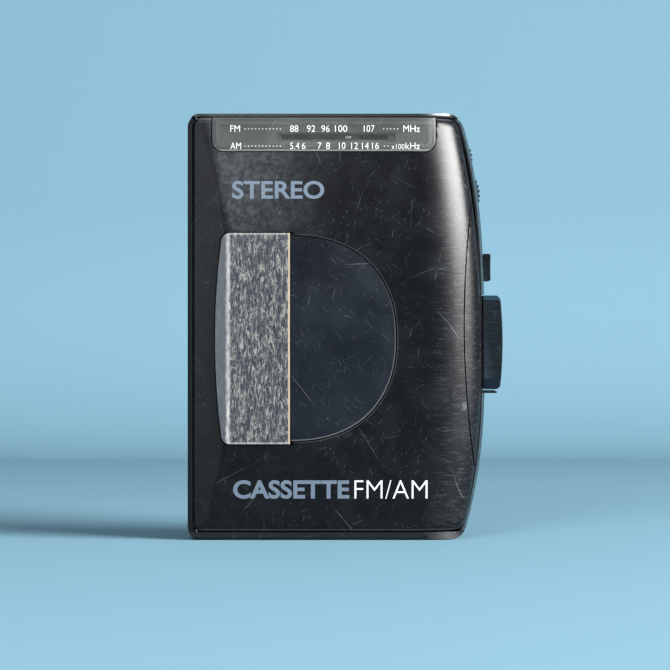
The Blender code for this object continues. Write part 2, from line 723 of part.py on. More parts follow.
def make_hinge_pins():
    place = (HINGE_X, HINGE_Y, 0)
    top = (LID_TOP_Z - HINGE_PIN_DEPTH, BODY_HEIGHT - 0.7 * MM)
    bottom = (1.3 * MM, LID_BOTTOM_Z + HINGE_PIN_DEPTH)
    rod("lid_hinge_pin_top", "Z", place, HINGE_PIN_RADIUS, *top, "steel", 12)
    rod("lid_hinge_pin_bottom", "Z", place, HINGE_PIN_RADIUS, *bottom, "steel", 12)


def make_window():
    """The smoked pane lies a little below the lid's face, and the band stands proud of it."""
    origin = (HINGE_X, HINGE_Y, 0)
    right = PANE_LEFT_X + CLEARANCE

    def pane_front(x, z):
        return lid_front(x, z) + PANE_RECESS

    def pane_back(x, z):
        return lid_front(x, z) + PANE_RECESS + PANE_THICKNESS

    def band_front(x, z):
        return lid_front(x, z) - BAND_PROUD

    def band_back(x, z):
        return lid_front(x, z) - BAND_PROUD + BAND_THICKNESS

    prism("lid_window", pane_outline(0, right), pane_front, pane_back, "smoked_window", origin)
    outline = band_outline(0, PANE_LEFT_X)
    core = band_outline(0.6 * MM, PANE_LEFT_X - 0.6 * MM)
    rings = [
        [(x, band_front(x, z), z) for x, z in core],
        [(x, band_front(x, z) + 0.5 * MM, z) for x, z in outline],
        [(x, band_back(x, z), z) for x, z in outline],
    ]
    stack("window_band", rings, "clear_band", origin)


def make_lid_springs():
    """Two leaf springs under the lid press the cassette onto the deck."""
    for name, offset in (("cassette_spring_upper", SPRING_OFFSET_Z), ("cassette_spring_lower", -SPRING_OFFSET_Z)):
        z = HUB_MIDDLE_Z + offset
        half = 3 * MM
        rings = []
        for i in range(7):
            share = i / 6
            x = SPRING_LEFT_X + SPRING_LENGTH * share
            seat = max(lid_front(x, z - half), lid_front(x, z + half)) + LID_WALL + CLEARANCE
            y = seat + SPRING_RISE * math.sin(math.pi * share)
            back = y + 0.3 * MM
            rings.append([(x, y, z - half), (x, y, z + half), (x, back, z + half), (x, back, z - half)])
        stack(name, rings, "steel", (HINGE_X, HINGE_Y, 0))


def make_key_panel():
    """The part of the crown right of the seam stays on the housing."""
    panel = lid_body("key_panel", "black_plastic")
    front = FRONT_Y - 2 * MM
    keep_inside(panel, prism("panel_region", seam_outline(CLEARANCE), front, LID_REAR_Y + 2 * MM))
    rings = []
    for i in range(9):
        z = SEAM_BOTTOM_Z + 4 * MM + (SEAM_TOP_Z - SEAM_BOTTOM_Z - 8 * MM) * i / 8
        wall = 1.2 * MM
        left = SEAM_X + CLEARANCE + wall + (z - SEAM_Z) ** 2 / (2 * SEAM_RADIUS)
        right = max(lid_edge(z) - wall, left + 0.2 * MM)
        front_y = max(lid_front(left, z), lid_front((left + right) / 2, z)) + wall
        corner_y = min(lid_front(right, z) + wall, LID_REAR_Y - 0.5 * MM)
        back = LID_REAR_Y + 2 * MM
        rings.append([(left, back, z), (left, front_y, z), (right, corner_y, z), (right, back, z)])
    cut(panel, stack("panel_hollow", rings))


def make_dial():
    """The lens with its skirt, the slotted scale, and the tray that holds them."""
    top = LID_TOP_Z
    edge = LENS_SKIRT

    def lens_front(x, z):
        return lid_front(x, z)

    def lens_back(x, z):
        return lid_front(x, z) + LENS_THICKNESS

    def skirt_front(x, z):
        return lid_front(x, z) + LENS_THICKNESS / 2

    lens = prism("dial_lens", lens_outline(0, top), lens_front, lens_back, "dial_grey")
    skirt = prism("lens_skirt", lens_outline(edge, top - edge), skirt_front, SCALE_Y - CLEARANCE)
    inside = prism("lens_inside", lens_outline(2 * edge, top - 2 * edge), lens_back, SCALE_Y + 1 * MM)
    join(lens, skirt)
    cut(lens, inside)
    scale_back = SCALE_Y + SCALE_THICKNESS
    scale = prism("dial_scale", lens_outline(edge, top - edge), SCALE_Y, scale_back, "inner_plastic")
    slot_low = (SLOT_LEFT_X, SCALE_Y - 1 * MM, SLOT_BOTTOM_Z)
    cut(scale, box("scale_slot", slot_low, (SLOT_RIGHT_X, scale_back + 1 * MM, SLOT_TOP_Z)))
    tray_front = scale_back + CLEARANCE
    tray_back = DECK_FRONT_Y - CLEARANCE
    tray = prism("dial_tray", lens_outline(edge, top - edge), tray_front, tray_back, "inner_plastic")
    room = prism("tray_room", lens_outline(2 * edge, top - 2 * edge), tray_front - 1 * MM, tray_back - 1 * MM)
    cut(tray, room)
    make_pointer(scale_back)


def make_pointer(scale_back):
    half = POINTER_WIDTH / 2
    middle = (SLOT_BOTTOM_Z + SLOT_TOP_Z) / 2
    low = (POINTER_X - half, SCALE_Y + 0.2 * MM, middle - 0.4 * MM)
    pointer = box("dial_pointer", low, (POINTER_X + half, scale_back + 1 * MM, middle + 0.4 * MM), "light_grey")
    slide_y = scale_back + CLEARANCE
    slide_low = (POINTER_X - 3 * MM, slide_y, middle - 1.3 * MM)
    slide = box("pointer_slide", slide_low, (POINTER_X + 3 * MM, slide_y + 1.4 * MM, middle + 1.5 * MM))
    join(pointer, slide)


def key_x(z):
    """The keys' outer face, gently crowned."""
    middle = (KEY_BOTTOM_Z + KEY_TOP_Z) / 2
    half = (KEY_TOP_Z - KEY_BOTTOM_Z) / 2
    return KEY_OUTER_X - KEY_CROWN * ((z - middle) / half) ** 2


def make_key(name, number):
    """A ribbed key cap on a flat stem that slides inwards."""
    front = KEY_FRONT_Y + number * KEY_PITCH
    back = front + KEY_WIDTH
    count = round((KEY_TOP_Z - KEY_BOTTOM_Z - 6 * MM) / RIB_PITCH)
    outline = [(KEY_INNER_X, KEY_TOP_Z), (KEY_INNER_X, KEY_BOTTOM_Z), (key_x(KEY_BOTTOM_Z) - 0.8 * MM, KEY_BOTTOM_Z)]
    outline.append((key_x(KEY_BOTTOM_Z + 0.8 * MM), KEY_BOTTOM_Z + 0.8 * MM))
    for i in range(count):
        z = KEY_BOTTOM_Z + 3.5 * MM + i * RIB_PITCH
        outline.append((key_x(z), z))
        outline.append((key_x(z) - RIB_DEPTH, z + 0.15 * MM))
        outline.append((key_x(z) - RIB_DEPTH, z + 0.5 * MM))
        outline.append((key_x(z), z + 0.65 * MM))
    outline.append((key_x(KEY_TOP_Z - 0.6 * MM), KEY_TOP_Z - 0.6 * MM))
    outline.append((key_x(KEY_TOP_Z) - 0.6 * MM, KEY_TOP_Z))
    key = prism(name, outline, front, back, "key_plastic")
    stem_front = front + 2 * MM
    stem_back = back - 2 * MM
    if number == 0:
        stem_front = DECK_FRONT_Y - CLEARANCE - 2 * MM
        stem_back = DECK_FRONT_Y - CLEARANCE
    middle = (KEY_BOTTOM_Z + KEY_TOP_Z) / 2
    low = (STEM_INNER_X, stem_front, middle - STEM_HALF_HEIGHT)
    high = (KEY_INNER_X + 1 * MM, stem_back, middle + STEM_HALF_HEIGHT)
    join(key, box(name + "_stem", low, high))
    return low, high


def make_keys():
    """The three keys, the slotted guide inside, and a return spring for each."""
    stems = []
    for number, name in enumerate(("play_key", "forward_key", "stop_key")):
        stems.append(make_key(name, number))
    inner = DECK_FRONT_Y - CLEARANCE - 3.5 * MM
    guide_low = (GUIDE_X, inner, KEY_BOTTOM_Z - 3 * MM)
    guide_high = (GUIDE_X + GUIDE_THICKNESS, BACK_Y - WALL - CLEARANCE, KEY_TOP_Z + 3 * MM)
    guide = box("key_guide", guide_low, guide_high, "steel")
    gap = CLEARANCE
    for number, (low, high) in enumerate(stems):
        slot_low = (GUIDE_X - 1 * MM, low[1] - gap, low[2] - gap)
        slot_high = (GUIDE_X + GUIDE_THICKNESS + 1 * MM, high[1] + gap, high[2] + gap)
        cut(guide, box(f"guide_slot_{number}", slot_low, slot_high))
    start = GUIDE_X + GUIDE_THICKNESS + gap
    end = KEY_INNER_X - gap
    for number, name in enumerate(("play_key_spring", "forward_key_spring", "stop_key_spring")):
        y = KEY_FRONT_Y + number * KEY_PITCH + KEY_WIDTH / 2
        z = KEY_BOTTOM_Z + 4 * MM
        coil(name, "X", (0, y, z), 1.6 * MM, 0.22 * MM, start, end, 3, "steel")


def make_selector():
    """A ribbed slide knob outside the wall, on a stem through the slot."""
    middle = (SELECTOR_BOTTOM_Z + SELECTOR_TOP_Z) / 2
    inner = BODY_HALF_WIDTH + CLEARANCE / 2
    outline = [(inner, SELECTOR_TOP_Z), (inner, SELECTOR_BOTTOM_Z), (SELECTOR_OUTER_X - 0.5 * MM, SELECTOR_BOTTOM_Z)]
    outline.append((SELECTOR_OUTER_X, SELECTOR_BOTTOM_Z + 0.5 * MM))
    for i in range(3):
        z = middle + (i - 1) * 1.8 * MM
        outline.append((SELECTOR_OUTER_X, z - 0.4 * MM))
        outline.append((SELECTOR_OUTER_X - 0.4 * MM, z))
        outline.append((SELECTOR_OUTER_X, z + 0.4 * MM))
    outline.append((SELECTOR_OUTER_X, SELECTOR_TOP_Z - 0.5 * MM))
    outline.append((SELECTOR_OUTER_X - 0.5 * MM, SELECTOR_TOP_Z))
    place = (inner, SELECTOR_Y, middle)
    knob = prism("selector_knob", outline, SELECTOR_Y - 3 * MM, SELECTOR_Y + 3 * MM, "key_plastic", place)
    stem_low = (BOARD_RIGHT_X + 1.5 * MM, SELECTOR_Y - 1.2 * MM, middle - 1.5 * MM)
    join(knob, box("selector_stem", stem_low, (inner + 1 * MM, SELECTOR_Y + 1.2 * MM, middle + 1.5 * MM)))
    switch_low = (BOARD_RIGHT_X - 4 * MM, BOARD_FRONT_Y + BOARD_THICKNESS + CLEARANCE, middle - 6 * MM)
    switch_high = (BOARD_RIGHT_X + 1.2 * MM, SELECTOR_Y + 3 * MM, middle + 6 * MM)
    box("band_switch", switch_low, switch_high, "steel")


def make_thumbwheel(name, wheel, teeth, bore):
    """A disc with a notched rim, turning on a shaft along Y."""
    place = (wheel["x"], (wheel["front"] + wheel["back"]) / 2, wheel["z"])
    outline = []
    for i in range(teeth):
        for step, radius in ((0, wheel["radius"]), (0.5, wheel["radius"]), (0.75, wheel["radius"] - 0.4 * MM)):
            turn = 2 * math.pi * (i + step) / teeth
            outline.append((place[0] + radius * math.cos(turn), place[2] + radius * math.sin(turn)))
    disc = prism(name, outline, wheel["front"], wheel["back"], "key_plastic", place)
    cut(disc, rod(name + "_bore", "Y", place, bore, wheel["front"] - 1 * MM, wheel["back"] + 1 * MM))


def make_radio():
    """The circuit board with what it carries."""
    board_back = BOARD_FRONT_Y + BOARD_THICKNESS
    seat = board_back + CLEARANCE
    left = -BODY_HALF_WIDTH + WALL + CLEARANCE
    low = (left, BOARD_FRONT_Y, BOARD_BOTTOM_Z)
    box("circuit_board", low, (BOARD_RIGHT_X, board_back, BOARD_TOP_Z), "board_brown")
    shaft = 1.5 * MM
    gap = CLEARANCE
    tuner = TUNING_WHEEL
    half = 6 * MM
    tuner_low = (tuner["x"] - half, seat, tuner["z"] - half)
    capacitor = box("tuning_capacitor", tuner_low, (BOARD_RIGHT_X + 3 * MM, 5.1 * MM, tuner["z"] + half), "white_plastic")
    tuner_place = (tuner["x"], 0, tuner["z"])
    join(capacitor, rod("tuning_shaft", "Y", tuner_place, shaft, 4 * MM, tuner["back"] - gap))
    make_thumbwheel("tuning_wheel", tuner, 48, shaft + gap)
    volume = VOLUME_WHEEL
    half = 3.7 * MM
    pot_low = (volume["x"] - half, seat, volume["z"] - half)
    pot_high = (volume["x"] + half, volume["front"] - gap, volume["z"] + half)
    pot = box("volume_control", pot_low, pot_high, "steel")
    volume_place = (volume["x"], 0, volume["z"])
    join(pot, rod("volume_shaft", "Y", volume_place, shaft, 4 * MM, volume["back"] - gap))
    make_thumbwheel("volume_wheel", volume, 36, shaft + gap)
    rod_y = seat + COIL_RADIUS
    rod("ferrite_rod", "X", (0, rod_y, ROD_Z), ROD_RADIUS, ROD_LEFT_X, ROD_LEFT_X + ROD_LENGTH, "ferrite", 16)
    start = ROD_LEFT_X + 6 * MM
    end = start + COIL_LENGTH
    bore = ROD_RADIUS + gap
    profile = [(bore, start), (COIL_RADIUS, start), (COIL_RADIUS, end), (bore, end)]
    turned("antenna_coil", "X", (0, rod_y, ROD_Z), profile, "copper_wire", 20, ring=True)
    for name, (z, radius) in JACKS.items():
        wall_inside = -BODY_HALF_WIDTH + WALL
        body_low = (wall_inside + gap, seat, z - radius - 1 * MM)
        body_high = (wall_inside + 11 * MM, JACK_Y + radius + 1 * MM, z + radius + 1 * MM)
        body = box(name, body_low, body_high, "inner_plastic")
        collar_start = wall_inside - WALL + 0.2 * MM
        join(body, rod(name + "_collar", "X", (0, JACK_Y, z), radius, collar_start, wall_inside + 2 * MM, sides=16))
        bore = 1.75 * MM if name == "headphone_jack" else 1.5 * MM
        cut(body, rod(name + "_bore", "X", (0, JACK_Y, z), bore, collar_start - 1 * MM, wall_inside + 9 * MM, sides=12))


def make_deck():
    """The steel deck plate with its holes and cut-outs."""
    inset = WALL + CLEARANCE
    outline = []
    for x, z in housing_outline(inset):
        outline.append((x, min(max(z, WALL + 1 * MM), LENS_BOTTOM_Z + 6 * MM)))
    back = DECK_FRONT_Y + DECK_THICKNESS
    deck = prism("deck_plate", dict.fromkeys(outline), DECK_FRONT_Y, back, "steel")
    low_y = DECK_FRONT_Y - 1 * MM
    high_y = back + 1 * MM
    gap = CLEARANCE
    for number, z in enumerate(hub_heights()):
        cut(deck, rod(f"hub_hole_{number}", "Y", (HUB_X, 0, z), HUB_BASE_RADIUS + gap, low_y, high_y))
    cut(deck, rod("bush_hole", "Y", (CAPSTAN_X, 0, CAPSTAN_Z), BUSH_RADIUS + gap, low_y, high_y))
    keys_low = (GUIDE_X - 2 * gap, low_y, KEY_BOTTOM_Z - 3 * MM - 2 * gap)
    keys_high = (BODY_HALF_WIDTH, high_y, KEY_TOP_Z + 3 * MM + 2 * gap)
    post_low, post_high = head_post()
    window_low = (post_low[0] - KEY_TRAVEL - gap, low_y, post_low[2] - gap)
    window_high = (post_high[0] + gap, high_y, post_high[2] + gap)
    cut(deck, box("deck_key_cut", keys_low, keys_high), box("deck_head_cut", window_low, window_high))
    pivot = rod("arm_pivot", "Y", (PIVOT_X, 0, PIVOT_Z), 1 * MM, ARM_FRONT_Y - 1 * MM, back - 0.3 * MM, sides=12)
    join(deck, pivot)


def hub_heights():
    return (HUB_MIDDLE_Z - HUB_SPACING / 2, HUB_MIDDLE_Z + HUB_SPACING / 2)


def head_post():
    """The block on the head plate that passes through the deck and carries the head."""
    low = (HEAD_LEFT_X + 1 * MM, DECK_FRONT_Y - 1 * MM, HUB_MIDDLE_Z - HEAD_HALF_HEIGHT + 1.5 * MM)
    high = (HEAD_RIGHT_X, DECK_FRONT_Y + DECK_THICKNESS + 1 * MM, HUB_MIDDLE_Z + HEAD_HALF_HEIGHT - 1.5 * MM)
    return low, high


def make_head():
    """The sliding head plate behind the deck, and the head in front of it."""
    front = DECK_FRONT_Y + DECK_THICKNESS + CLEARANCE
    low = (HEAD_LEFT_X - 0.5 * MM, front, HUB_MIDDLE_Z - 10.5 * MM)
    high = (HEAD_RIGHT_X + 1.5 * MM, front + 1 * MM, HUB_MIDDLE_Z + 11.5 * MM)
    plate = box("head_plate", low, high, "steel")
    post_low, post_high = head_post()
    join(plate, box("head_plate_post", post_low, post_high))
    head_back = post_low[1] - CLEARANCE
    bottom = HUB_MIDDLE_Z - HEAD_HALF_HEIGHT
    top = HUB_MIDDLE_Z + HEAD_HALF_HEIGHT
    outline = [(HEAD_RIGHT_X, bottom), (HEAD_RIGHT_X, top)]
    for i in range(7):
        share = 1 - i / 3
        z = HUB_MIDDLE_Z + HEAD_HALF_HEIGHT * share
        outline.append((HEAD_LEFT_X + 2 * MM * share**2, z))
    prism("tape_head", outline, head_back - 8.8 * MM, head_back, "steel")


def make_pinch():
    """The arm swings the rubber roller onto the capstan."""
    reach = math.hypot(PIVOT_X - ROLLER_X, PIVOT_Z - CAPSTAN_Z)
    lean = math.atan2(PIVOT_X - ROLLER_X, PIVOT_Z - CAPSTAN_Z)
    half = 2 * MM
    outline = []
    for centre, start in (((0, 0), 0), ((0, -reach), 180)):
        for angle in range(start, start + 181, 30):
            turn = math.radians(angle)
            outline.append((centre[0] + half * math.cos(turn), centre[1] + half * math.sin(turn)))
    turned_outline = []
    for x, z in outline:
        turned_outline.append((
            PIVOT_X + x * math.cos(lean) + z * math.sin(lean),
            PIVOT_Z - x * math.sin(lean) + z * math.cos(lean),
        ))
    place = (PIVOT_X, 0, PIVOT_Z)
    arm = prism("pinch_arm", turned_outline, ARM_FRONT_Y, ARM_BACK_Y, "steel", place)
    join(arm, rod("roller_pin", "Y", (ROLLER_X, 0, CAPSTAN_Z), ROLLER_PIN_RADIUS, ROLLER_FRONT_Y - CLEARANCE, ARM_FRONT_Y + 0.5 * MM, sides=12))
    cut(arm, rod("arm_bore", "Y", place, 1 * MM + CLEARANCE, ARM_FRONT_Y - 1 * MM, ARM_BACK_Y + 1 * MM, sides=12))
    bore = ROLLER_PIN_RADIUS + CLEARANCE
    front = ROLLER_FRONT_Y
    back = ARM_FRONT_Y - CLEARANCE
    profile = [(bore, front), (ROLLER_RADIUS, front), (ROLLER_RADIUS, back), (bore, back)]
    turned("pinch_roller", "Y", (ROLLER_X, 0, CAPSTAN_Z), profile, "rubber", 24, ring=True)


def make_spindle(name, z):
    """A reel table behind the deck with a three-finned spindle in front."""
    profile = [
        (REEL_RADIUS, DRIVE_BACK_Y),
        (REEL_RADIUS, DRIVE_FRONT_Y),
        (HUB_BASE_RADIUS, DRIVE_FRONT_Y),
        (HUB_BASE_RADIUS, DECK_FRONT_Y - 0.6 * MM),
        (HUB_RADIUS, DECK_FRONT_Y - 0.9 * MM),
        (HUB_RADIUS, HUB_TIP_Y + 1 * MM),
        (HUB_RADIUS - 1.2 * MM, HUB_TIP_Y),
    ]
    place = (HUB_X, 0, z)
    spindle = turned(name, "Y", place, profile, "white_plastic", 24)
    for number in range(3):
        turn = math.radians(120 * number + 90)
        across = Vector((math.cos(turn), 0, math.sin(turn)))
        side = Vector((-math.sin(turn), 0, math.cos(turn))) * 0.45 * MM
        outline = []
        for reach, sign in ((1 * MM, -1), (3.6 * MM, -1), (3.6 * MM, 1), (1 * MM, 1)):
            point = Vector(place) + across * reach + side * sign
            outline.append((point.x, point.z))
        fin = prism(f"{name}_fin_{number}", outline, HUB_TIP_Y + 1.2 * MM, DECK_FRONT_Y - 1.5 * MM)
        join(spindle, fin)


def make_drive():
    """Motor, belt, flywheel on the capstan, idler and the two reel tables."""
    takeup_z, supply_z = hub_heights()
    make_spindle("takeup_spindle", takeup_z)
    make_spindle("supply_spindle", supply_z)
    place = (CAPSTAN_X, 0, CAPSTAN_Z)
    gap = CLEARANCE
    rod("capstan", "Y", place, CAPSTAN_RADIUS, -12.5 * MM, DRIVE_BACK_Y, "steel", 16)
    bore = CAPSTAN_RADIUS + gap
    front, back = DRIVE_FRONT_Y, DRIVE_BACK_Y
    turned("flywheel", "Y", place, [(bore, front), (FLYWHEEL_RADIUS, front), (FLYWHEEL_RADIUS, back), (bore, back)], "brass", 40, ring=True)
    bush_front, bush_back = DECK_FRONT_Y - 1 * MM, DECK_FRONT_Y + DECK_THICKNESS + 0.2 * MM
    profile = [(bore, bush_front), (BUSH_RADIUS, bush_front), (BUSH_RADIUS, bush_back), (bore, bush_back)]
    turned("capstan_bush", "Y", place, profile, "brass", 20, ring=True)
    make_motor()
    make_idler(takeup_z)
    make_belt()


def make_motor():
    place = (MOTOR_X, 0, MOTOR_Z)
    back = MOTOR_FRONT_Y + MOTOR_LENGTH
    profile = [
        (MOTOR_RADIUS - 0.8 * MM, MOTOR_FRONT_Y),
        (MOTOR_RADIUS, MOTOR_FRONT_Y + 0.8 * MM),
        (MOTOR_RADIUS, back - 0.8 * MM),
        (MOTOR_RADIUS - 0.8 * MM, back),
    ]
    motor = turned("motor", "Y", place, profile, "steel", 28)
    shaft = 0.7 * MM
    cut(motor, rod("motor_bore", "Y", place, shaft + CLEARANCE, MOTOR_FRONT_Y - 1 * MM, MOTOR_FRONT_Y + 3 * MM, sides=12))
    profile = [
        (PULLEY_RADIUS, DRIVE_FRONT_Y),
        (PULLEY_RADIUS, DRIVE_BACK_Y),
        (shaft, DRIVE_BACK_Y),
        (shaft, MOTOR_FRONT_Y + 2.5 * MM),
    ]
    turned("motor_pulley", "Y", place, profile, "brass", 20)


def make_idler(takeup_z):
    """The idler lies between the flywheel's rim and the take-up table, on the line of their centres."""
    along = Vector((HUB_X - CAPSTAN_X, takeup_z - CAPSTAN_Z)).normalized()
    reach = FLYWHEEL_RADIUS + CLEARANCE + IDLER_RADIUS
    place = (CAPSTAN_X + along.x * reach, 0, CAPSTAN_Z + along.y * reach)
    front = DRIVE_FRONT_Y + BELT_WIDTH + CLEARANCE
    rod("idler_wheel", "Y", place, IDLER_RADIUS, front, DRIVE_BACK_Y, "rubber", 32)


def make_belt():
    """A flat belt round the pulley and the flywheel, along their outer tangents."""
    small = Vector((MOTOR_X, MOTOR_Z))
    large = Vector((CAPSTAN_X, CAPSTAN_Z))
    apart = large - small
    facing = math.atan2(apart.y, apart.x)
    spread = math.acos((PULLEY_RADIUS - FLYWHEEL_RADIUS) / apart.length)
    front, back = DRIVE_FRONT_Y, DRIVE_FRONT_Y + BELT_WIDTH
    loops = []
    for stand_off in (CLEARANCE, CLEARANCE + 0.8 * MM):
        loop = []
        for i in range(9):
            turn = facing + spread + (2 * math.pi - 2 * spread) * i / 8
            reach = PULLEY_RADIUS + stand_off
            loop.append((small.x + reach * math.cos(turn), small.y + reach * math.sin(turn)))
        for i in range(19):
            turn = facing - spread + 2 * spread * i / 18
            reach = FLYWHEEL_RADIUS + stand_off
            loop.append((large.x + reach * math.cos(turn), large.y + reach * math.sin(turn)))
        loops.append(loop)
    inner, outer = loops
    rings = []
    for loop, y in ((inner, front), (outer, front), (outer, back), (inner, back)):
        rings.append([(x, y, z) for x, z in loop])
    count = len(inner)
    points = [point for ring in rings for point in ring]
    faces = []
    for level in range(4):
        low, high = level * count, (level + 1) % 4 * count
        for i in range(count):
            follow = (i + 1) % count
            faces.append((low + i, low + follow, high + follow, high + i))
    solid("drive_belt", points, faces, "rubber")


def make_battery_parts():
    """Contacts and springs at the bay's ends, and the hinged cover."""
    gap = CLEARANCE
    plate = 0.5 * MM
    top = BAY_TOP_Z - 1 * MM
    bottom = BAY_BOTTOM_Z + 1 * MM
    middle = (BAY_BOTTOM_Z + BAY_TOP_Z) / 2
    front = BAY_FLOOR_Y + gap
    back = BACK_Y - COVER_THICKNESS - 3 * MM
    left = BAY_LEFT_X + gap
    right = BAY_RIGHT_X - gap
    box("battery_link", (left, front, bottom), (left + plate, back, top), "steel")
    box("battery_plus", (right - plate, front, middle + 1 * MM), (right, back, top), "steel")
    box("battery_minus", (right - plate, front, bottom), (right, back, middle - 1 * MM), "steel")
    y = BAY_FLOOR_Y + CELL_DIAMETER / 2
    upper = middle + CELL_DIAMETER / 2
    lower = middle - CELL_DIAMETER / 2
    turns, wire, reach = 3, 0.35 * MM, 3.2 * MM
    start = left + plate + gap
    coil("battery_spring_link", "X", (0, y, upper), reach, wire, start, start + 3 * MM, turns, "steel")
    end = right - plate - gap
    coil("battery_spring_minus", "X", (0, y, lower), reach, wire, end - 3 * MM, end, turns, "steel")
    make_cover()


def make_cover():
    hinge_y, hinge_z = cover_hinge_y(), cover_hinge_z()
    left = BAY_LEFT_X - COVER_MARGIN
    right = BAY_RIGHT_X + COVER_MARGIN
    front = BACK_Y - COVER_THICKNESS
    low = (left, front, BAY_BOTTOM_Z + CLEARANCE)
    origin = (0, hinge_y, hinge_z)
    cover = box("battery_cover", low, (right, BACK_Y - 0.02 * MM, hinge_z), "black_plastic", origin)
    join(cover, rod("cover_barrel", "X", origin, COVER_HINGE_RADIUS, left + 0.01 * MM, right - 0.01 * MM, sides=20))
    join(cover, rod("cover_pins", "X", origin, COVER_PIN_RADIUS, left - 1 * MM, right + 1 * MM, sides=12))


def make_screws():
    for number, (x, z) in enumerate(SCREW_PLACES):
        head_front = BACK_Y - SCREW_HEAD_DEPTH - 0.1 * MM
        back = BACK_Y - 0.1 * MM
        profile = [
            (SCREW_RADIUS, head_front - SCREW_LENGTH),
            (SCREW_RADIUS, head_front),
            (SCREW_HEAD_RADIUS, head_front + 0.3 * MM),
            (SCREW_HEAD_RADIUS, back - 0.2 * MM),
            (SCREW_HEAD_RADIUS - 0.3 * MM, back),
        ]
        screw = turned(f"housing_screw_{number + 1}", "Y", (x, 0, z), profile, "steel", 16)
        slot = 0.3 * MM
        reach = 1.2 * MM
        deep = back - 0.7 * MM
        flat = box(f"screw_flat_{number}", (x - reach, deep, z - slot), (x + reach, back + 1 * MM, z + slot))
        upright = box(f"screw_upright_{number}", (x - slot, deep, z - reach), (x + slot, back + 1 * MM, z + reach))
        cut(screw, flat, upright)


def clear_scene():
    for obj in list(bpy.data.objects):
        bpy.data.objects.remove(obj, do_unlink=True)


def main():
    clear_scene()
    make_housing()
    make_lid()
    make_hinge_pins()
    make_window()
    make_lid_springs()
    make_key_panel()
    make_dial()
    make_keys()
    make_selector()
    make_radio()
    make_deck()
    make_head()
    make_pinch()
    make_drive()
    make_battery_parts()
    make_screws()


main()
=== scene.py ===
"""Portable radio cassette player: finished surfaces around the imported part.

The front faces -Y, +X is to the right as seen from the front and +Z is up. The player stands on the middle
of its bottom face, at the origin. Lengths are in metres.
"""

import json
import math

import bmesh
import bpy
from bpy.props import FloatProperty, FloatVectorProperty, IntProperty, PointerProperty
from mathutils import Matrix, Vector


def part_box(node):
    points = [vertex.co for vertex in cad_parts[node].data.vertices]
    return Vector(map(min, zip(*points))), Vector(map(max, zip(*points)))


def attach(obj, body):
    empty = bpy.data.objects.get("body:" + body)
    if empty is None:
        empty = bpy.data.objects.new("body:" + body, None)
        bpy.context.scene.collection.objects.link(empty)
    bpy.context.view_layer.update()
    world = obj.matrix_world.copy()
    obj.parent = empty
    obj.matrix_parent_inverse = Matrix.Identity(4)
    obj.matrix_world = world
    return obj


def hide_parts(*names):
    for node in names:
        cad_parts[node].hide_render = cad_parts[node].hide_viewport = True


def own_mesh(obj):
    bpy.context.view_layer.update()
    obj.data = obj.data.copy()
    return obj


bl_info = {
    "name": "Radio Cassette Player",
    "version": (1, 0, 0),
    "blender": (4, 5, 0),
    "location": "3D View > Sidebar > Player",
    "description": "Builds the finished surfaces of a portable radio cassette player around its frame",
    "category": "Add Mesh",
}

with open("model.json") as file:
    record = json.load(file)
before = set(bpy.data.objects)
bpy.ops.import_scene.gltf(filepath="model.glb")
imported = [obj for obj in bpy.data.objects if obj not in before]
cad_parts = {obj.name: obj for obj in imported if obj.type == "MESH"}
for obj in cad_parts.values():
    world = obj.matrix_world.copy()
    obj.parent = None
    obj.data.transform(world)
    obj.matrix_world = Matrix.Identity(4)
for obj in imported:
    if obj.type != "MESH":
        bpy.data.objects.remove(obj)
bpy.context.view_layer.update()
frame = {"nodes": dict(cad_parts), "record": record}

MM = 0.001
TAU = 2 * math.pi

# Overall body
BODY_HEIGHT = 119 * MM
BODY_HALF_WIDTH = 41.7 * MM
FRONT_Y = -17.5 * MM
BACK_Y = 17.5 * MM
WALL = 1.5 * MM
CLEARANCE = 0.3 * MM
CORNER_RADIUS = 3.6 * MM
BACK_EDGE_RADIUS = 3 * MM
BASE_LIP = 2.2 * MM
TOP_LIP = 1.1 * MM
LIP_FRONT_Y = -14.5 * MM
PARTING_Y = -8.2 * MM

# Where cutters start, well in front of the body and beside it
AHEAD_Y = FRONT_Y - 3 * MM
BESIDE_X = BODY_HALF_WIDTH + 10 * MM

# Bow of the right-hand side: height of the widest point, then inward drop and power above and below it
HOUSING_WAIST = 45 * MM
HOUSING_BOW_UP = (6.93 * MM, 3.5)
HOUSING_BOW_DOWN = (6.08 * MM, 2.25)
LID_WAIST = 50 * MM
LID_BOW_UP = (7.33 * MM, 2.4)
LID_BOW_DOWN = (5.77 * MM, 2.2)

# Lid
LID_WALL = 1.5 * MM
LID_RIGHT_X = BODY_HALF_WIDTH - 1.1 * MM
LID_LEFT_X = -BODY_HALF_WIDTH + 1.3 * MM
LID_BOTTOM_Z = BASE_LIP + CLEARANCE
LID_TOP_Z = BODY_HEIGHT - TOP_LIP - CLEARANCE
LID_REAR_Y = PARTING_Y - CLEARANCE
LID_EDGE_RADIUS = 1.2 * MM
LID_CORNER = 2.7 * MM
CROWN_WIDTH = 16.6 * MM
CREASE_X = LID_LEFT_X + 10.6 * MM
FACET_SLOPE = 0.21
BEND_TOP_Z = LID_TOP_Z - 31.6 * MM
BEND_BOTTOM_Z = 27 * MM
BEND_TOP_SLOPE = 0.058
BEND_BOTTOM_SLOPE = 0.067
BEND_SOFTNESS = 14 * MM
HINGE_RADIUS = 1.5 * MM
HINGE_PIN_RADIUS = 0.6 * MM
HINGE_PIN_DEPTH = 7 * MM
HINGE_X = LID_LEFT_X + HINGE_RADIUS
HINGE_Y = LID_REAR_Y - HINGE_RADIUS

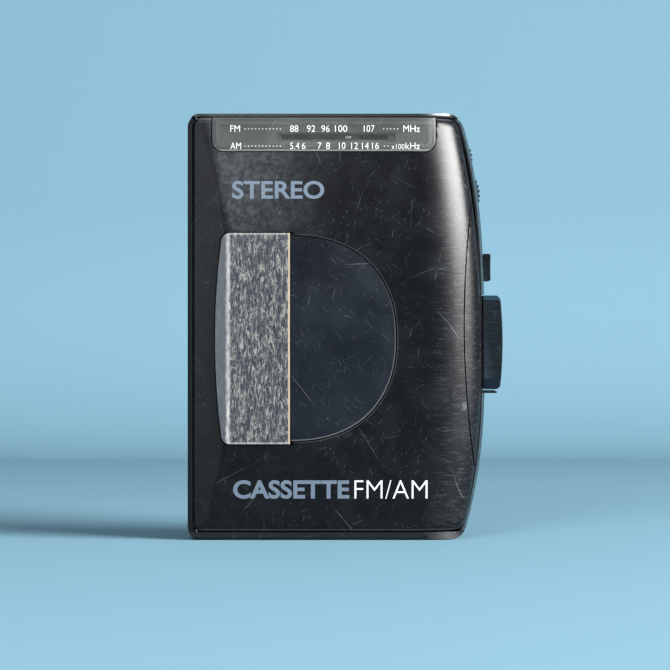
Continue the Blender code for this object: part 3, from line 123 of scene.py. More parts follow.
# Cassette window
BAND_LEFT_X = LID_LEFT_X + 6.7 * MM
PANE_LEFT_X = BAND_LEFT_X + 20.8 * MM
PANE_WIDTH = 29.5 * MM
PANE_CENTRE_Z = 56.1 * MM
PANE_HALF_HEIGHT = 28.5 * MM
PANE_POWER = 2.3
PANE_THICKNESS = 1.2 * MM
PANE_RECESS = 0.3 * MM
BAND_BULGE = 1.7 * MM
BAND_HALF_HEIGHT = 29.3 * MM
BAND_CORNER = 2.5 * MM
BAND_PROUD = 0.7 * MM
BAND_THICKNESS = 2.2 * MM

# Dial
LENS_LEFT_X = LID_LEFT_X + 5.9 * MM
LENS_RIGHT_X = BODY_HALF_WIDTH - 14.1 * MM
LENS_BOTTOM_Z = LID_TOP_Z - 9.4 * MM
LENS_CORNER = 3 * MM
LENS_THICKNESS = 1.2 * MM
LENS_SKIRT = 1 * MM
SCALE_Y = -12.2 * MM

# Side seam of the key panel
SEAM_X = BODY_HALF_WIDTH - 6.3 * MM
SEAM_Z = 60 * MM
SEAM_RADIUS = 255 * MM
SEAM_BOTTOM_Z = 20.7 * MM
SEAM_TOP_Z = 94.3 * MM

# Keys and selector
KEY_BOTTOM_Z = 41.9 * MM
KEY_TOP_Z = 68.2 * MM
KEY_INNER_X = BODY_HALF_WIDTH - 0.5 * MM
KEY_OUTER_X = BODY_HALF_WIDTH + 5.3 * MM
KEY_CROWN = 0.7 * MM
KEY_WIDTH = 7.2 * MM
KEY_PITCH = 7.6 * MM
KEY_FRONT_Y = -7.4 * MM
STEM_INNER_X = 33 * MM
STEM_HALF_HEIGHT = 4 * MM
GUIDE_X = BODY_HALF_WIDTH - 5.9 * MM
GUIDE_THICKNESS = 1.2 * MM
SELECTOR_BOTTOM_Z = 72.4 * MM
SELECTOR_TOP_Z = 80.2 * MM
SELECTOR_OUTER_X = BODY_HALF_WIDTH + 2.1 * MM
SELECTOR_Y = 7 * MM
SELECTOR_TRAVEL = 2.5 * MM

# Angles in degrees: steeper edges are shaded sharp, on solid pieces and on what Geometry Nodes copies
SHARP_SOLID = 29
SHARP_COPIES = 32

# Thumbwheels as (radius, x, z, front, back)
TUNING_WHEEL = (11 * MM, 30 * MM, 96.8 * MM, 8.6 * MM, 12 * MM)
VOLUME_WHEEL = (8 * MM, 30.75 * MM, 107 * MM, 5.4 * MM, 8 * MM)

# Deck and tape drive
DECK_FRONT_Y = -3.4 * MM
DECK_THICKNESS = 1 * MM
DRIVE_FRONT_Y = -1.9 * MM
DRIVE_BACK_Y = -0.2 * MM
HUB_X = -7.8 * MM
HUB_HEIGHTS = (33.25 * MM, 75.75 * MM)
HUB_TIP_Y = -11.5 * MM
CAPSTAN_X = 23.2 * MM
CAPSTAN_Z = 17 * MM
FLYWHEEL_RADIUS = 11 * MM
MOTOR_X = 7 * MM
MOTOR_Z = 60 * MM
MOTOR_RADIUS = 10 * MM
MOTOR_FRONT_Y = 0.9 * MM
MOTOR_LENGTH = 12 * MM
PULLEY_RADIUS = 3 * MM

# Radio board, sockets and battery bay
BOARD_FRONT_Y = 0.6 * MM
BOARD_THICKNESS = 1 * MM
BOARD_BOTTOM_Z = 72 * MM
JACK_Y = 5.2 * MM
JACKS = {"headphone_jack": (94 * MM, 2.9 * MM, 1.75 * MM), "power_jack": (80 * MM, 2.6 * MM, 1.5 * MM)}
BAY_LEFT_X = -BODY_HALF_WIDTH + 3.8 * MM
BAY_RIGHT_X = BAY_LEFT_X + 54.8 * MM
BAY_BOTTOM_Z = 3.2 * MM
BAY_TOP_Z = BAY_BOTTOM_Z + 30.2 * MM
BAY_WALL = 1.3 * MM
BAY_FLOOR_Y = 1.3 * MM
COVER_THICKNESS = 1.4 * MM
COVER_MARGIN = 1 * MM
COVER_HINGE_RADIUS = 1.45 * MM
COVER_PIN_RADIUS = 0.7 * MM
COVER_HINGE_Y = BACK_Y - COVER_HINGE_RADIUS
COVER_HINGE_Z = BAY_TOP_Z + COVER_HINGE_RADIUS - 0.7 * MM
SCREW_PLACES = ((-35.5 * MM, 112.5 * MM), (17 * MM, 112.5 * MM), (-35.5 * MM, 42 * MM), (32 * MM, 4.9 * MM))
POST_RADIUS = 2.6 * MM
SCREW_RADIUS = 0.8 * MM
SCREW_LENGTH = 8 * MM
SCREW_HEAD_RADIUS = 1.9 * MM
SCREW_HEAD_DEPTH = 1.2 * MM


class Value:
    """A shader socket that takes part in plain arithmetic."""

    def __init__(self, finish, socket):
        self.finish = finish
        self.socket = socket

    def __add__(self, other):
        return self.finish.math("ADD", self, other)

    def __radd__(self, other):
        return self.finish.math("ADD", other, self)

    def __sub__(self, other):
        return self.finish.math("SUBTRACT", self, other)

    def __rsub__(self, other):
        return self.finish.math("SUBTRACT", other, self)

    def __mul__(self, other):
        return self.finish.math("MULTIPLY", self, other)

    def __rmul__(self, other):
        return self.finish.math("MULTIPLY", other, self)

    def __abs__(self):
        return self.finish.math("ABSOLUTE", self)


class Finish:
    """A Principled material and the nodes behind it."""

    def __init__(self, name, **constants):
        self.material = bpy.data.materials.new(name)
        self.material.use_nodes = True
        self.tree = self.material.node_tree
        self.shader = self.tree.nodes["Principled BSDF"]
        for label, value in constants.items():
            self.put(self.shader.inputs[label.replace("_", " ").title().replace("Ior", "IOR")], value)
        self.place = self.node("ShaderNodeTexCoord", {}, {}, "Object")

    def put(self, socket, value):
        if isinstance(value, Value):
            self.tree.links.new(value.socket, socket)
        elif socket.type == "RGBA":
            socket.default_value = (*value[:3], 1)
        else:
            socket.default_value = value

    def node(self, kind, settings, values, output=0):
        """One node: its settings first, then the values or links of its sockets."""
        made = self.tree.nodes.new(kind)
        for label, value in settings.items():
            setattr(made, label, value)
        for label, value in values.items():
            self.put(made.inputs[label], value)
        return Value(self, made.outputs[output])

    def math(self, operation, *values, clamp=False):
        return self.node(
            "ShaderNodeMath", {"operation": operation, "use_clamp": clamp}, dict(enumerate(values))
        )

    def vector_math(self, operation, *values, output=0):
        return self.node("ShaderNodeVectorMath", {"operation": operation}, dict(enumerate(values)), output)

    def mix(self, first, second, share):
        """A colour between two others."""
        return self.node("ShaderNodeMix", {"data_type": "RGBA"}, {0: share, 6: first, 7: second}, 2)

    def step(self, value, start, end):
        """Rises softly from 0 at the start to 1 at the end."""
        values = {"Value": value, "From Min": start, "From Max": end}
        return self.node("ShaderNodeMapRange", {"interpolation_type": "SMOOTHSTEP"}, values)

    def axis(self, letter):
        return self.node("ShaderNodeSeparateXYZ", {}, {0: self.place}, letter)

    def moved(self, offset=0.0, stretch=(1, 1, 1), turn=(0, 0, 0)):
        values = {
            "Vector": self.place, "Location": (offset, offset, offset), "Rotation": turn, "Scale": stretch
        }
        return self.node("ShaderNodeMapping", {}, values)

    def noise(self, size, detail=2.0, vector=None, distortion=0.0):
        """Noise whose lumps are about this many millimetres across."""
        scale = 1 / (size * MM)
        values = {
            "Vector": vector or self.place, "Scale": scale, "Detail": detail, "Distortion": distortion
        }
        return self.node("ShaderNodeTexNoise", {}, values, "Fac")

    def patches(self, size, detail, start, end, distortion=0.0):
        """Noise that stands out in soft-edged patches."""
        return self.step(self.noise(size, detail, distortion=distortion), start, end)

    def scratches(self, spacing_mm, width_mm, share, offset):
        """Straight fine scratches at random slants, no more than one to a cell of that spacing."""
        spacing = spacing_mm * MM
        width = width_mm * MM
        place = self.moved(offset)
        values = {"Vector": place, "Scale": 1 / spacing}
        settings = {"voronoi_dimensions": "3D", "feature": "F1"}
        middle = self.node("ShaderNodeTexVoronoi", settings, values, "Position")
        chance = self.node(
            "ShaderNodeTexWhiteNoise", {"noise_dimensions": "3D"}, {"Vector": middle}, "Value"
        )
        slant = self.node(
            "ShaderNodeTexWhiteNoise", {"noise_dimensions": "3D"}, {"Vector": middle}, "Color"
        )
        facing = self.vector_math("NORMALIZE", self.vector_math("SUBTRACT", slant, (0.5, 0.5, 0.5)))
        local = self.vector_math("SUBTRACT", place, middle)
        across = abs(self.vector_math("DOT_PRODUCT", local, facing, output="Value"))
        reach = self.vector_math("LENGTH", local, output="Value")
        line = (1 - self.step(across, 0.0, width)) * (1 - self.step(reach, 0.25 * spacing, 0.55 * spacing))
        return line * self.step(chance, 1.001 - share, 1.0 - share + 0.02)

    def edges(self, start=0.515, end=0.6):
        """Where the surface turns sharply outwards."""
        return self.step(self.node("ShaderNodeNewGeometry", {}, {}, "Pointiness"), start, end)

    def pane_reach(self):
        """1 on the edge of the window's D, less inside it."""
        across = self.math("DIVIDE", self.math("MAXIMUM", self.axis("X") - PANE_LEFT_X, 0.0), PANE_WIDTH)
        along = self.math("DIVIDE", abs(self.axis("Z") - PANE_CENTRE_Z), PANE_HALF_HEIGHT)
        return self.math("POWER", across, PANE_POWER) + self.math("POWER", along, PANE_POWER)

    def line(self, value, start, end, soft):
        """1 between the start and the end of a range, fading over the soft distance."""
        return self.step(value, start - soft, start) * (1 - self.step(value, end, end + soft))

    def colour(self, value):
        self.put(self.shader.inputs["Base Color"], value)

    def rough(self, value):
        self.put(self.shader.inputs["Roughness"], value)

    def alpha(self, value):
        self.put(self.shader.inputs["Alpha"], value)

    def capped(self, value):
        """The value, but no more than 1."""
        return self.math("MINIMUM", value, 1.0)

    def bump(self, height, millimetres, strength=1.0):
        values = {"Strength": strength, "Distance": millimetres * MM, "Height": height}
        self.put(self.shader.inputs["Normal"], self.node("ShaderNodeBump", {}, values))


def shade(colour, factor, lift=0.0):
    """The colour, darker or paler."""
    return tuple(min(1, c * factor + lift) for c in colour)


def satin_plastic(name, colour, worn, roughness, wear=1.0, coat=0.0):
    """Moulded plastic with a fine grain, hazy handling marks, hair scratches, painted highlight lines along
    the lid's edges and a painted sheen.
    """
    finish = Finish(
        name, roughness=roughness, specular_ior_level=0.21, coat_weight=coat, coat_roughness=0.24
    )
    x, z = finish.axis("X"), finish.axis("Z")
    grain = finish.noise(0.3, 2)
    haze = finish.patches(7, 5, 0.35, 0.75, distortion=0.4)
    specks = finish.patches(0.6, 1, 0.71, 0.79)
    fine = finish.scratches(3.4, 0.06, 0.5, 0.013) + finish.scratches(2.3, 0.05, 0.45, 0.131)
    long = finish.scratches(12, 0.085, 0.55, 0.071)
    cross = finish.step(finish.noise(0.42, 3, finish.moved(0.02, (0.07, 0.3, 1.0))), 0.50, 0.72)
    crown = finish.step(x, LID_RIGHT_X - CROWN_WIDTH, LID_RIGHT_X - 9 * MM)
    marks = finish.capped((fine + long * 1.2) * (0.3 + haze * 0.7) + specks * 0.5)
    # Painted highlight: a pale line on the lid just outside the window's D, where its edge catches the
    # light.
    beside = finish.line(finish.pane_reach(), 1.012, 1.03, 0.02)
    beside = beside * finish.step(x, PANE_LEFT_X, PANE_LEFT_X + 4 * MM)
    # Painted highlight: pale lines along the lid's top and bottom edges.
    ends = finish.line(z, LID_BOTTOM_Z, LID_BOTTOM_Z + 0.5 * MM, 0.3 * MM)
    ends = ends + finish.line(z, LID_TOP_Z - 0.5 * MM, LID_TOP_Z, 0.3 * MM)
    rim = (beside * 0.8 + ends) * (0.35 + finish.noise(1.2, 3) * 0.65)
    # Painted sheen: a paler patch on the upper left of the lid's face, where a light is reflected.
    pale_patch = (1 - finish.step(x, CREASE_X, CREASE_X + 33 * MM)) * finish.step(z, 60 * MM, 100 * MM)
    pale_patch = pale_patch * finish.step(x + z * 0.2, CREASE_X + 16 * MM, CREASE_X + 19 * MM)
    before = 1 - finish.step(finish.axis("Y"), PARTING_Y - 1 * MM, PARTING_Y)
    rim = rim * before
    pale_patch = pale_patch * before
    # Scratches, haze and brushing are wear; the rim lines and the pale patch are painted highlight and
    # painted sheen.
    wear_and_highlights = marks * 0.42 + haze * 0.02 + cross * crown * 0.10 + rim * 0.30
    # Grain and patches that break up the painted sheen.
    sheen_texture = 0.02 + grain * 0.12
    sheen_texture = sheen_texture + finish.patches(1.5, 5, 0.35, 0.7, distortion=0.6) * 0.16
    wear_and_highlights = wear_and_highlights + pale_patch * sheen_texture
    # The worn colour takes the wear, the painted highlights and the painted sheen.
    finish.colour(finish.mix(colour, worn, finish.capped(wear_and_highlights * wear)))
    finish.rough(roughness - 0.02 + haze * 0.03 + marks * 0.10 + grain * 0.05 + pale_patch * 0.06)
    finish.bump(grain * 0.4 - marks * 0.6 - cross * crown * 0.5, 0.012, 0.6)
    return finish.material


def inner_plastic(name, colour, roughness=0.5):
    """Plain moulded plastic with a cloudy tone, light spark texture and a few scratches."""
    finish = Finish(name, roughness=roughness)
    grain = finish.noise(0.2, 2)
    cloud = finish.noise(7, 3)
    marks = finish.scratches(4, 0.05, 0.4, 0.021)
    base = finish.mix(shade(colour, 0.8), shade(colour, 1.5, 0.02), finish.step(cloud, 0.3, 0.75))
    finish.colour(finish.mix(base, shade(colour, 1.8, 0.04), marks * 0.5))
    finish.rough(roughness - 0.05 + cloud * 0.1 + grain * 0.06)
    finish.bump(grain - marks * 0.5, 0.02, 0.5)
    return finish.material


def metal(name, colour, roughness, stretch=(1, 1, 0.04), tarnish=(0.3, 0.27, 0.22)):
    """Drawn or rolled metal: streaks along the stretch, faint tarnish and small scratches."""
    finish = Finish(name, metallic=1.0, roughness=roughness)
    streaks = finish.noise(0.25, 3, finish.moved(0.004, stretch))
    stain = finish.patches(5, 4, 0.5, 0.78)
    marks = finish.scratches(3, 0.04, 0.5, 0.011)
    base = finish.mix(shade(colour, 0.78), colour, streaks)
    finish.colour(finish.mix(base, tarnish, stain * 0.45))
    finish.rough(roughness - 0.06 + streaks * 0.14 + stain * 0.16 + marks * 0.1)
    finish.bump(streaks * 0.6 - marks * 0.5, 0.008, 0.5)
    return finish.material


def rubber(name):
    """Matte black rubber with a dusty bloom."""
    finish = Finish(name, roughness=0.8)
    grain = finish.noise(0.15, 3)
    bloom = finish.patches(2.2, 4, 0.45, 0.8)
    finish.colour(finish.mix((0.014, 0.014, 0.015), (0.06, 0.058, 0.055), bloom * 0.6))
    finish.rough(0.7 + grain * 0.2)
    finish.bump(grain, 0.03, 0.6)
    return finish.material


def key_plastic(name, colour, worn):
    """Finely ribbed dark plastic with dust, scratches, painted highlights on its edges and plain strips at
    its head and foot.
    """
    finish = Finish(name, roughness=0.45, specular_ior_level=0.11)
    grain = finish.noise(0.15, 2)
    lines = finish.noise(0.36, 1, finish.moved(0.01, (0.06, 0.06, 1.0)))
    dust = finish.patches(1.1, 4, 0.52, 0.8)
    marks = finish.scratches(2.6, 0.04, 0.5, 0.041)
    # Painted highlight: paler where the surface turns sharply outwards, on the key's edges.
    rim = finish.edges()
    z = finish.axis("Z")
    foot = 1 - finish.step(z, KEY_BOTTOM_Z + 2.8 * MM, KEY_BOTTOM_Z + 3.1 * MM)
    head = finish.line(z, KEY_TOP_Z - 1.2 * MM, KEY_TOP_Z + 0.3 * MM, 0.15 * MM)
    lines = lines * (1 - foot) * (1 - head)
    share = finish.capped(dust * 0.14 + marks * 0.4 + rim * 0.25 + finish.step(lines, 0.45, 0.65) * 0.10)
    plain = finish.mix(colour, worn, share)
    plain = finish.mix(plain, (0.003, 0.008, 0.014), foot * 0.8)
    finish.colour(finish.mix(plain, (0.012, 0.034, 0.048), head * 0.8))
    finish.rough(0.40 + dust * 0.2 + grain * 0.06 - rim * 0.08)
    finish.bump(grain * 0.5 + lines * 0.4, 0.01, 0.4)
    return finish.material


def smoked_pane(name):
    """Smoke-tinted clear plastic: deep navy, scuffed hazy in places, with a few deep scratches and a painted
    highlight line low on its edge.
    """
    finish = Finish(name, roughness=0.3, specular_ior_level=0.3)
    pale_patch = finish.step(finish.noise(13, 4, finish.moved(0.05, (1, 1, 0.7)), 0.3), 0.28, 0.8)
    grain = finish.noise(0.4, 3)
    fine = finish.scratches(3.2, 0.06, 0.5, 0.017) + finish.scratches(2.2, 0.05, 0.45, 0.023)
    long = finish.scratches(15, 0.09, 0.7, 0.093)
    specks = finish.patches(0.6, 1, 0.73, 0.80)
    marks = finish.capped(fine * (0.3 + pale_patch * 0.7) + long * 0.8 + specks * 0.5)
    hazed = finish.capped(pale_patch * (0.35 + grain * 0.5) + 0.15)
    base = finish.mix((0.003, 0.0043, 0.0075), (0.0145, 0.0175, 0.0235), hazed)
    # Painted highlight: a pale line just inside the D's edge, on its lower part only.
    low = 1 - finish.step(finish.axis("Z"), PANE_CENTRE_Z - 5 * MM, PANE_CENTRE_Z + 22 * MM)
    rim = finish.line(finish.pane_reach(), 0.974, 0.986, 0.012) * low * 0.4
    finish.colour(finish.mix(base, (0.17, 0.17, 0.17), finish.math("MAXIMUM", marks * 0.45, rim)))
    finish.rough(0.26 + pale_patch * 0.08 + marks * 0.15)
    finish.alpha(finish.capped(0.88 + pale_patch * 0.05 + marks * 0.07))
    finish.bump((fine + long) * -1.0, 0.008, 0.3)
    return finish.material


def scuffed_band(name):
    """Thick clear plastic scuffed white in upright flakes, clean on the facet at its left; painted highlight
    lines run along its right edge and its ends, and its crease line is partly wear, partly painted
    highlight.
    """
    finish = Finish(name, roughness=0.35, specular_ior_level=0.4)
    x = finish.axis("X")
    wander = finish.noise(2.4, 2, finish.moved(0.03, (1, 1, 0.4)))
    lumps = finish.noise(1.15, 4, finish.moved(0.0, (1.0, 1.0, 0.2)), 0.9)
    curls = finish.noise(0.8, 3, finish.moved(0.04, (1.0, 1.0, 0.33)), 1.4)
    veins = 1 - finish.step(abs(lumps - 0.5), 0.005, 0.05)
    threads = 1 - finish.step(abs(curls - 0.5), 0.0, 0.05)
    broken = finish.step(finish.noise(1.4, 4, finish.moved(0.07, (1, 1, 0.6))), 0.30, 0.62)
    white = finish.capped((veins * 0.8 + threads * 0.55) * (broken * 0.8 + 0.2) + wander * 0.06)
    flat = finish.step(x + (wander - 0.5) * 0.001, CREASE_X - 0.5 * MM, CREASE_X + 0.5 * MM)
    white = white * (0.35 + flat * 0.65)
    frost = finish.noise(0.35, 3, finish.moved(0.0, (1, 1, 0.5)))
    # A pale line along the crease: partly wear, partly a painted highlight.
    ridge = 1 - finish.step(abs(x - (CREASE_X - 0.3 * MM) + (curls - 0.5) * 0.0012), 0.1 * MM, 0.9 * MM)
    # Painted highlight: a pale yellowish line along the band's right edge, beside the pane.
    right_edge_highlight = finish.step(x, PANE_LEFT_X - 0.62 * MM, PANE_LEFT_X - 0.42 * MM)
    # Painted highlight: pale lines along the band's top and bottom ends.
    rim = finish.step(
        abs(finish.axis("Z") - PANE_CENTRE_Z), BAND_HALF_HEIGHT - 0.7 * MM, BAND_HALF_HEIGHT - 0.3 * MM
    )
    yellow = finish.patches(3.0, 3, 0.62, 0.75)
    tint = finish.mix(
        (0.011, 0.0145, 0.022), (0.085, 0.095, 0.108),
        finish.capped(frost * 0.3 + (1 - flat) * (0.3 + frost * 0.4)),
    )
    tint = finish.mix(tint, (0.15, 0.15, 0.137), white)
    tint = finish.mix(tint, (0.17, 0.15, 0.065), yellow * 0.25)
    tint = finish.mix(
        tint, (0.27, 0.27, 0.258), finish.math("MAXIMUM", ridge * (0.4 + broken * 0.45), rim * 0.45)
    )
    finish.colour(finish.mix(tint, (0.25, 0.21, 0.155), right_edge_highlight * 0.85))
    finish.rough(0.28 + white * 0.3)
    finish.alpha(finish.capped(0.84 + white * 0.16 + right_edge_highlight * 0.16 + ridge * 0.16))
    finish.bump(white, 0.03, 0.6)
    return finish.material


def dial_glass(name):
    """Clear grey-tinted plastic with light scratches and a painted highlight line along its lower edge."""
    finish = Finish(name, roughness=0.35, specular_ior_level=0.3)
    haze = finish.patches(11, 4, 0.35, 0.75)
    streaks = finish.noise(0.6, 3, finish.moved(0.02, (0.2, 1, 1)))
    marks = finish.scratches(3, 0.06, 0.6, 0.063) + finish.scratches(9, 0.08, 0.5, 0.031)
    marks = finish.capped(marks)
    # Painted highlight: a pale, less clear line along the lens's lower edge.
    low = 1 - finish.step(finish.axis("Z"), LENS_BOTTOM_Z + 0.3 * MM, LENS_BOTTOM_Z + 0.7 * MM)
    rim = low * 0.8
    pale = finish.capped(marks * 0.4 + haze * 0.05 + streaks * 0.06 + rim * 0.25)
    finish.colour(finish.mix((0.054, 0.057, 0.057), (0.28, 0.29, 0.29), pale))
    finish.rough(0.32 + haze * 0.06 + marks * 0.15)
    slot = finish.step(abs(finish.axis("Z") - (FM_ROW[0] + AM_ROW[1]) * MM / 2), 1.0 * MM, 1.6 * MM)
    slot = finish.math("MAXIMUM", slot, finish.step(abs(finish.axis("X")), 16 * MM, 17 * MM))
    finish.alpha(finish.capped(0.2 + slot * 0.32 + haze * 0.04 + marks * 0.3 + rim * 0.3))
    finish.bump(marks * -1.0, 0.01, 0.4)
    return finish.material


def printed_ink(name, colour):
    """Screen-printed ink, worn thin in small spots."""
    finish = Finish(name, roughness=0.5)
    worn = finish.patches(0.45, 4, 0.60, 0.78)
    finish.colour(finish.mix(colour, shade(colour, 0.55), worn * 0.7))
    finish.rough(0.42 + worn * 0.2)
    return finish.material


def board_finish(name):
    """Brown phenolic board with pale copper tracks under the lacquer."""
    finish = Finish(name, roughness=0.5)
    tracks = finish.noise(2.2, 0, finish.moved(0.0, (1, 0.2, 0.5)))
    lines = 1 - finish.step(abs(tracks - 0.5), 0.02, 0.045)
    weave = finish.noise(0.3, 3)
    base = finish.mix((0.10, 0.05, 0.017), (0.15, 0.084, 0.03), weave)
    finish.colour(finish.mix(base, (0.18, 0.15, 0.055), lines * 0.7))
    finish.rough(0.4 + weave * 0.2 - lines * 0.1)
    finish.bump(lines + weave * 0.3, 0.03, 0.6)
    return finish.material


def floor_finish(name, colour):
    """Plain pale paper with the faintest tone in it, clear when seen from behind."""
    finish = Finish(name, roughness=0.75, specular_ior_level=0.1)
    tone = finish.noise(350, 2)
    finish.colour(finish.mix(shade(colour, 0.985), colour, tone))
    finish.rough(0.72 + tone * 0.06)
    behind = finish.node("ShaderNodeNewGeometry", {}, {}, "Backfacing")
    clear = finish.node("ShaderNodeBsdfTransparent", {}, {})
    paper = Value(finish, finish.shader.outputs[0])
    both = finish.node("ShaderNodeMixShader", {}, {0: behind, 1: paper, 2: clear})
    finish.put(finish.tree.nodes["Material Output"].inputs["Surface"], both)
    return finish.material


FINISHES = {}


def build_finishes(colours):
    """Makes each finish once, from the colours in the sidebar."""
    black = tuple(colours.black)
    FINISHES.update({
        # The second colour of the body plastics takes their wear, their painted highlights and their painted
        # sheen.
        "black": satin_plastic("black_satin_plastic", black, (0.15, 0.16, 0.175), 0.30, colours.wear),
        "back": satin_plastic(
            "black_back_plastic", black, (0.13, 0.14, 0.16), 0.40, colours.wear * 0.7, 0.55
        ),
        "keys": key_plastic("dark_key_plastic", tuple(colours.keys), (0.036, 0.046, 0.057)),
        "pane": smoked_pane("smoked_pane"),
        "band": scuffed_band("scuffed_clear_band"),
        "glass": dial_glass("grey_dial_glass"),
        "white_ink": printed_ink("white_print", tuple(colours.print_white)),
        "blue_ink": printed_ink("blue_grey_print", tuple(colours.print_blue)),
        # Painted shade: the lens wall is darker than its plastic, to match the shaded scale plate behind it.
        "skirt": inner_plastic("grey_lens_wall", (0.035, 0.036, 0.035), 0.5),
        "scale": inner_plastic("grey_scale_plate", (0.068, 0.07, 0.068), 0.5),
        "pointer": inner_plastic("pale_pointer", (0.55, 0.56, 0.56), 0.45),
        "inner": inner_plastic("dark_inner_plastic", (0.030, 0.030, 0.033)),
        "white": inner_plastic("white_nylon", (0.27, 0.265, 0.245), 0.42),
        "steel": metal("plated_steel", (0.36, 0.36, 0.355), 0.34),
        "bright": metal("bright_steel", (0.46, 0.46, 0.46), 0.22, (1, 0.05, 1)),
        "brass": metal("turned_brass", (0.43, 0.30, 0.12), 0.28, (1, 0.04, 1), (0.24, 0.15, 0.06)),
        "copper": metal("enamelled_wire", (0.40, 0.16, 0.055), 0.3, (0.05, 1, 1), (0.3, 0.12, 0.05)),
        "rubber": rubber("black_rubber"),
        "board": board_finish("phenolic_board"),
        "ferrite": inner_plastic("ferrite_grey", (0.045, 0.040, 0.042), 0.6),
    })


# Making meshes

def linked(name, data):
    """A new object with this data, in the scene."""
    made = bpy.data.objects.new(name, data)
    bpy.context.scene.collection.objects.link(made)
    return made


def baked(obj):
    """The mesh that the object's modifiers make of it."""
    graph = bpy.context.evaluated_depsgraph_get()
    return bpy.data.meshes.new_from_object(obj.evaluated_get(graph))


def solid(name, points, faces):
    """A closed mesh object from points and faces, its faces turned outwards."""
    mesh = bpy.data.meshes.new(name)
    mesh.from_pydata([tuple(point) for point in points], [], faces)
    tidy = bmesh.new()
    tidy.from_mesh(mesh)
    bmesh.ops.remove_doubles(tidy, verts=tidy.verts, dist=1e-7)
    bmesh.ops.recalc_face_normals(tidy, faces=tidy.faces)
    tidy.to_mesh(mesh)
    tidy.free()
    return linked(name, mesh)


def stack(name, rings, closed=False):
    """A solid through rings of equal count; a closed stack joins its last ring to its first."""
    count = len(rings[0])
    points = [point for ring in rings for point in ring]
    faces = [] if closed else [tuple(range(count)), tuple(range(len(points) - count, len(points)))]
    for level in range(len(rings) if closed else len(rings) - 1):
        low = level * count
        high = (level + 1) % len(rings) * count
        for i in range(count):
            follow = (i + 1) % count
            faces.append((low + i, low + follow, high + follow, high + i))
    return solid(name, points, faces)


def box(name, low, high):
    rings = []
    for y in (low[1], high[1]):
        rings.append(
            [(low[0], y, low[2]), (high[0], y, low[2]), (high[0], y, high[2]), (low[0], y, high[2])]
        )
    return stack(name, rings)


def prism(name, outline, front, back):
    """An outline of (x, z) points carried through the depth."""
    return stack(name, [[(x, y, z) for x, z in outline] for y in (front, back)])


def around(radius, along, *offsets):
    """Profile points at offsets in millimetres from a radius and a place along the axis."""
    return [(radius + out * MM, along + on * MM) for out, on in offsets]


def turned(name, axis, centre, profile, sides=64, ring=False):
    """A turned piece: profile points are (radius, place along the axis). A ring profile closes on itself."""
    along_axis = "XYZ".index(axis)
    first = (along_axis + 1) % 3
    second = (along_axis + 2) % 3
    rings = []
    for radius, along in profile:
        ring_points = []
        for i in range(sides):
            point = [0.0, 0.0, 0.0]
            point[along_axis] = along
            point[first] = centre[first] + radius * math.cos(TAU * i / sides)
            point[second] = centre[second] + radius * math.sin(TAU * i / sides)
            ring_points.append(point)
        rings.append(ring_points)
    return stack(name, rings, ring)


def rod(name, axis, centre, radius, start, end, sides=48):
    return turned(name, axis, centre, [(radius, start), (radius, end)], sides)


def washer(name, axis, centre, bore, radius, start, end, sides=64):
    profile = [(bore, start), (radius, start), (radius, end), (bore, end)]
    return turned(name, axis, centre, profile, sides, ring=True)


def slab(name, x_range, z_range, front, back, across=60, up=70):
    """A plate whose front and back follow functions of x and z."""
    points = []
    for depth in (front, back):
        for j in range(up + 1):
            z = z_range[0] + (z_range[1] - z_range[0]) * j / up
            for i in range(across + 1):
                x = x_range[0] + (x_range[1] - x_range[0]) * i / across
                points.append((x, depth(x, z), z))
    row = across + 1
    rear = row * (up + 1)
    faces = []
    for j in range(up):
        for i in range(across):
            corner = j * row + i
            faces.append((corner, corner + 1, corner + row + 1, corner + row))
            faces.append((rear + corner, rear + corner + row, rear + corner + row + 1, rear + corner + 1))
    rim = [(0, i) for i in range(across)] + [(j, across) for j in range(up)]
    rim += [(up, i) for i in range(across, 0, -1)] + [(j, 0) for j in range(up, 0, -1)]
    for (j, i), (k, m) in zip(rim, rim[1:] + rim[:1]):
        start = j * row + i
        end = k * row + m
        faces.append((start, end, rear + end, rear + start))
    return solid(name, points, faces)


def use_boolean(target, operation, helpers):
    for helper in helpers:
        step = target.modifiers.new(operation.lower(), "BOOLEAN")
        step.operation = operation
        step.solver = "EXACT"
        step.object = helper
    result = baked(target)
    target.modifiers.clear()
    target.data = result
    for helper in helpers:
        bpy.data.objects.remove(helper)
    if not result.polygons:
        raise RuntimeError(f"{target.name} lost its whole mesh in a {operation.lower()}")


def cut(target, *helpers):
    use_boolean(target, "DIFFERENCE", helpers)


def join(target, *helpers):
    use_boolean(target, "UNION", helpers)


def keep_inside(target, helper):
    use_boolean(target, "INTERSECT", [helper])


def soften(obj, width, segments=2, slant=33):
    """Rounds the sharp edges and sets the shading."""
    mesh = obj.data
    tidy = bmesh.new()
    tidy.from_mesh(mesh)
    bmesh.ops.remove_doubles(tidy, verts=tidy.verts, dist=2e-6)
    bmesh.ops.dissolve_degenerate(tidy, edges=tidy.edges, dist=2e-6)
    bmesh.ops.dissolve_limit(tidy, verts=tidy.verts, edges=tidy.edges, angle_limit=math.radians(0.02))
    tidy.to_mesh(mesh)
    tidy.free()
    if width:
        bevel = obj.modifiers.new("edges", "BEVEL")
        bevel.width = width
        bevel.segments = segments
        bevel.limit_method = "ANGLE"
        bevel.angle_limit = math.radians(slant)
        bevel.miter_outer = "MITER_ARC"
        mesh = baked(obj)
        obj.modifiers.clear()
        obj.data = mesh
    mesh.shade_smooth()
    mesh.set_sharp_from_angle(angle=math.radians(SHARP_SOLID))
    shading = obj.modifiers.new("shading", "WEIGHTED_NORMAL")
    shading.keep_sharp = True
    mesh = baked(obj)
    obj.modifiers.clear()
    obj.data = mesh
    return obj


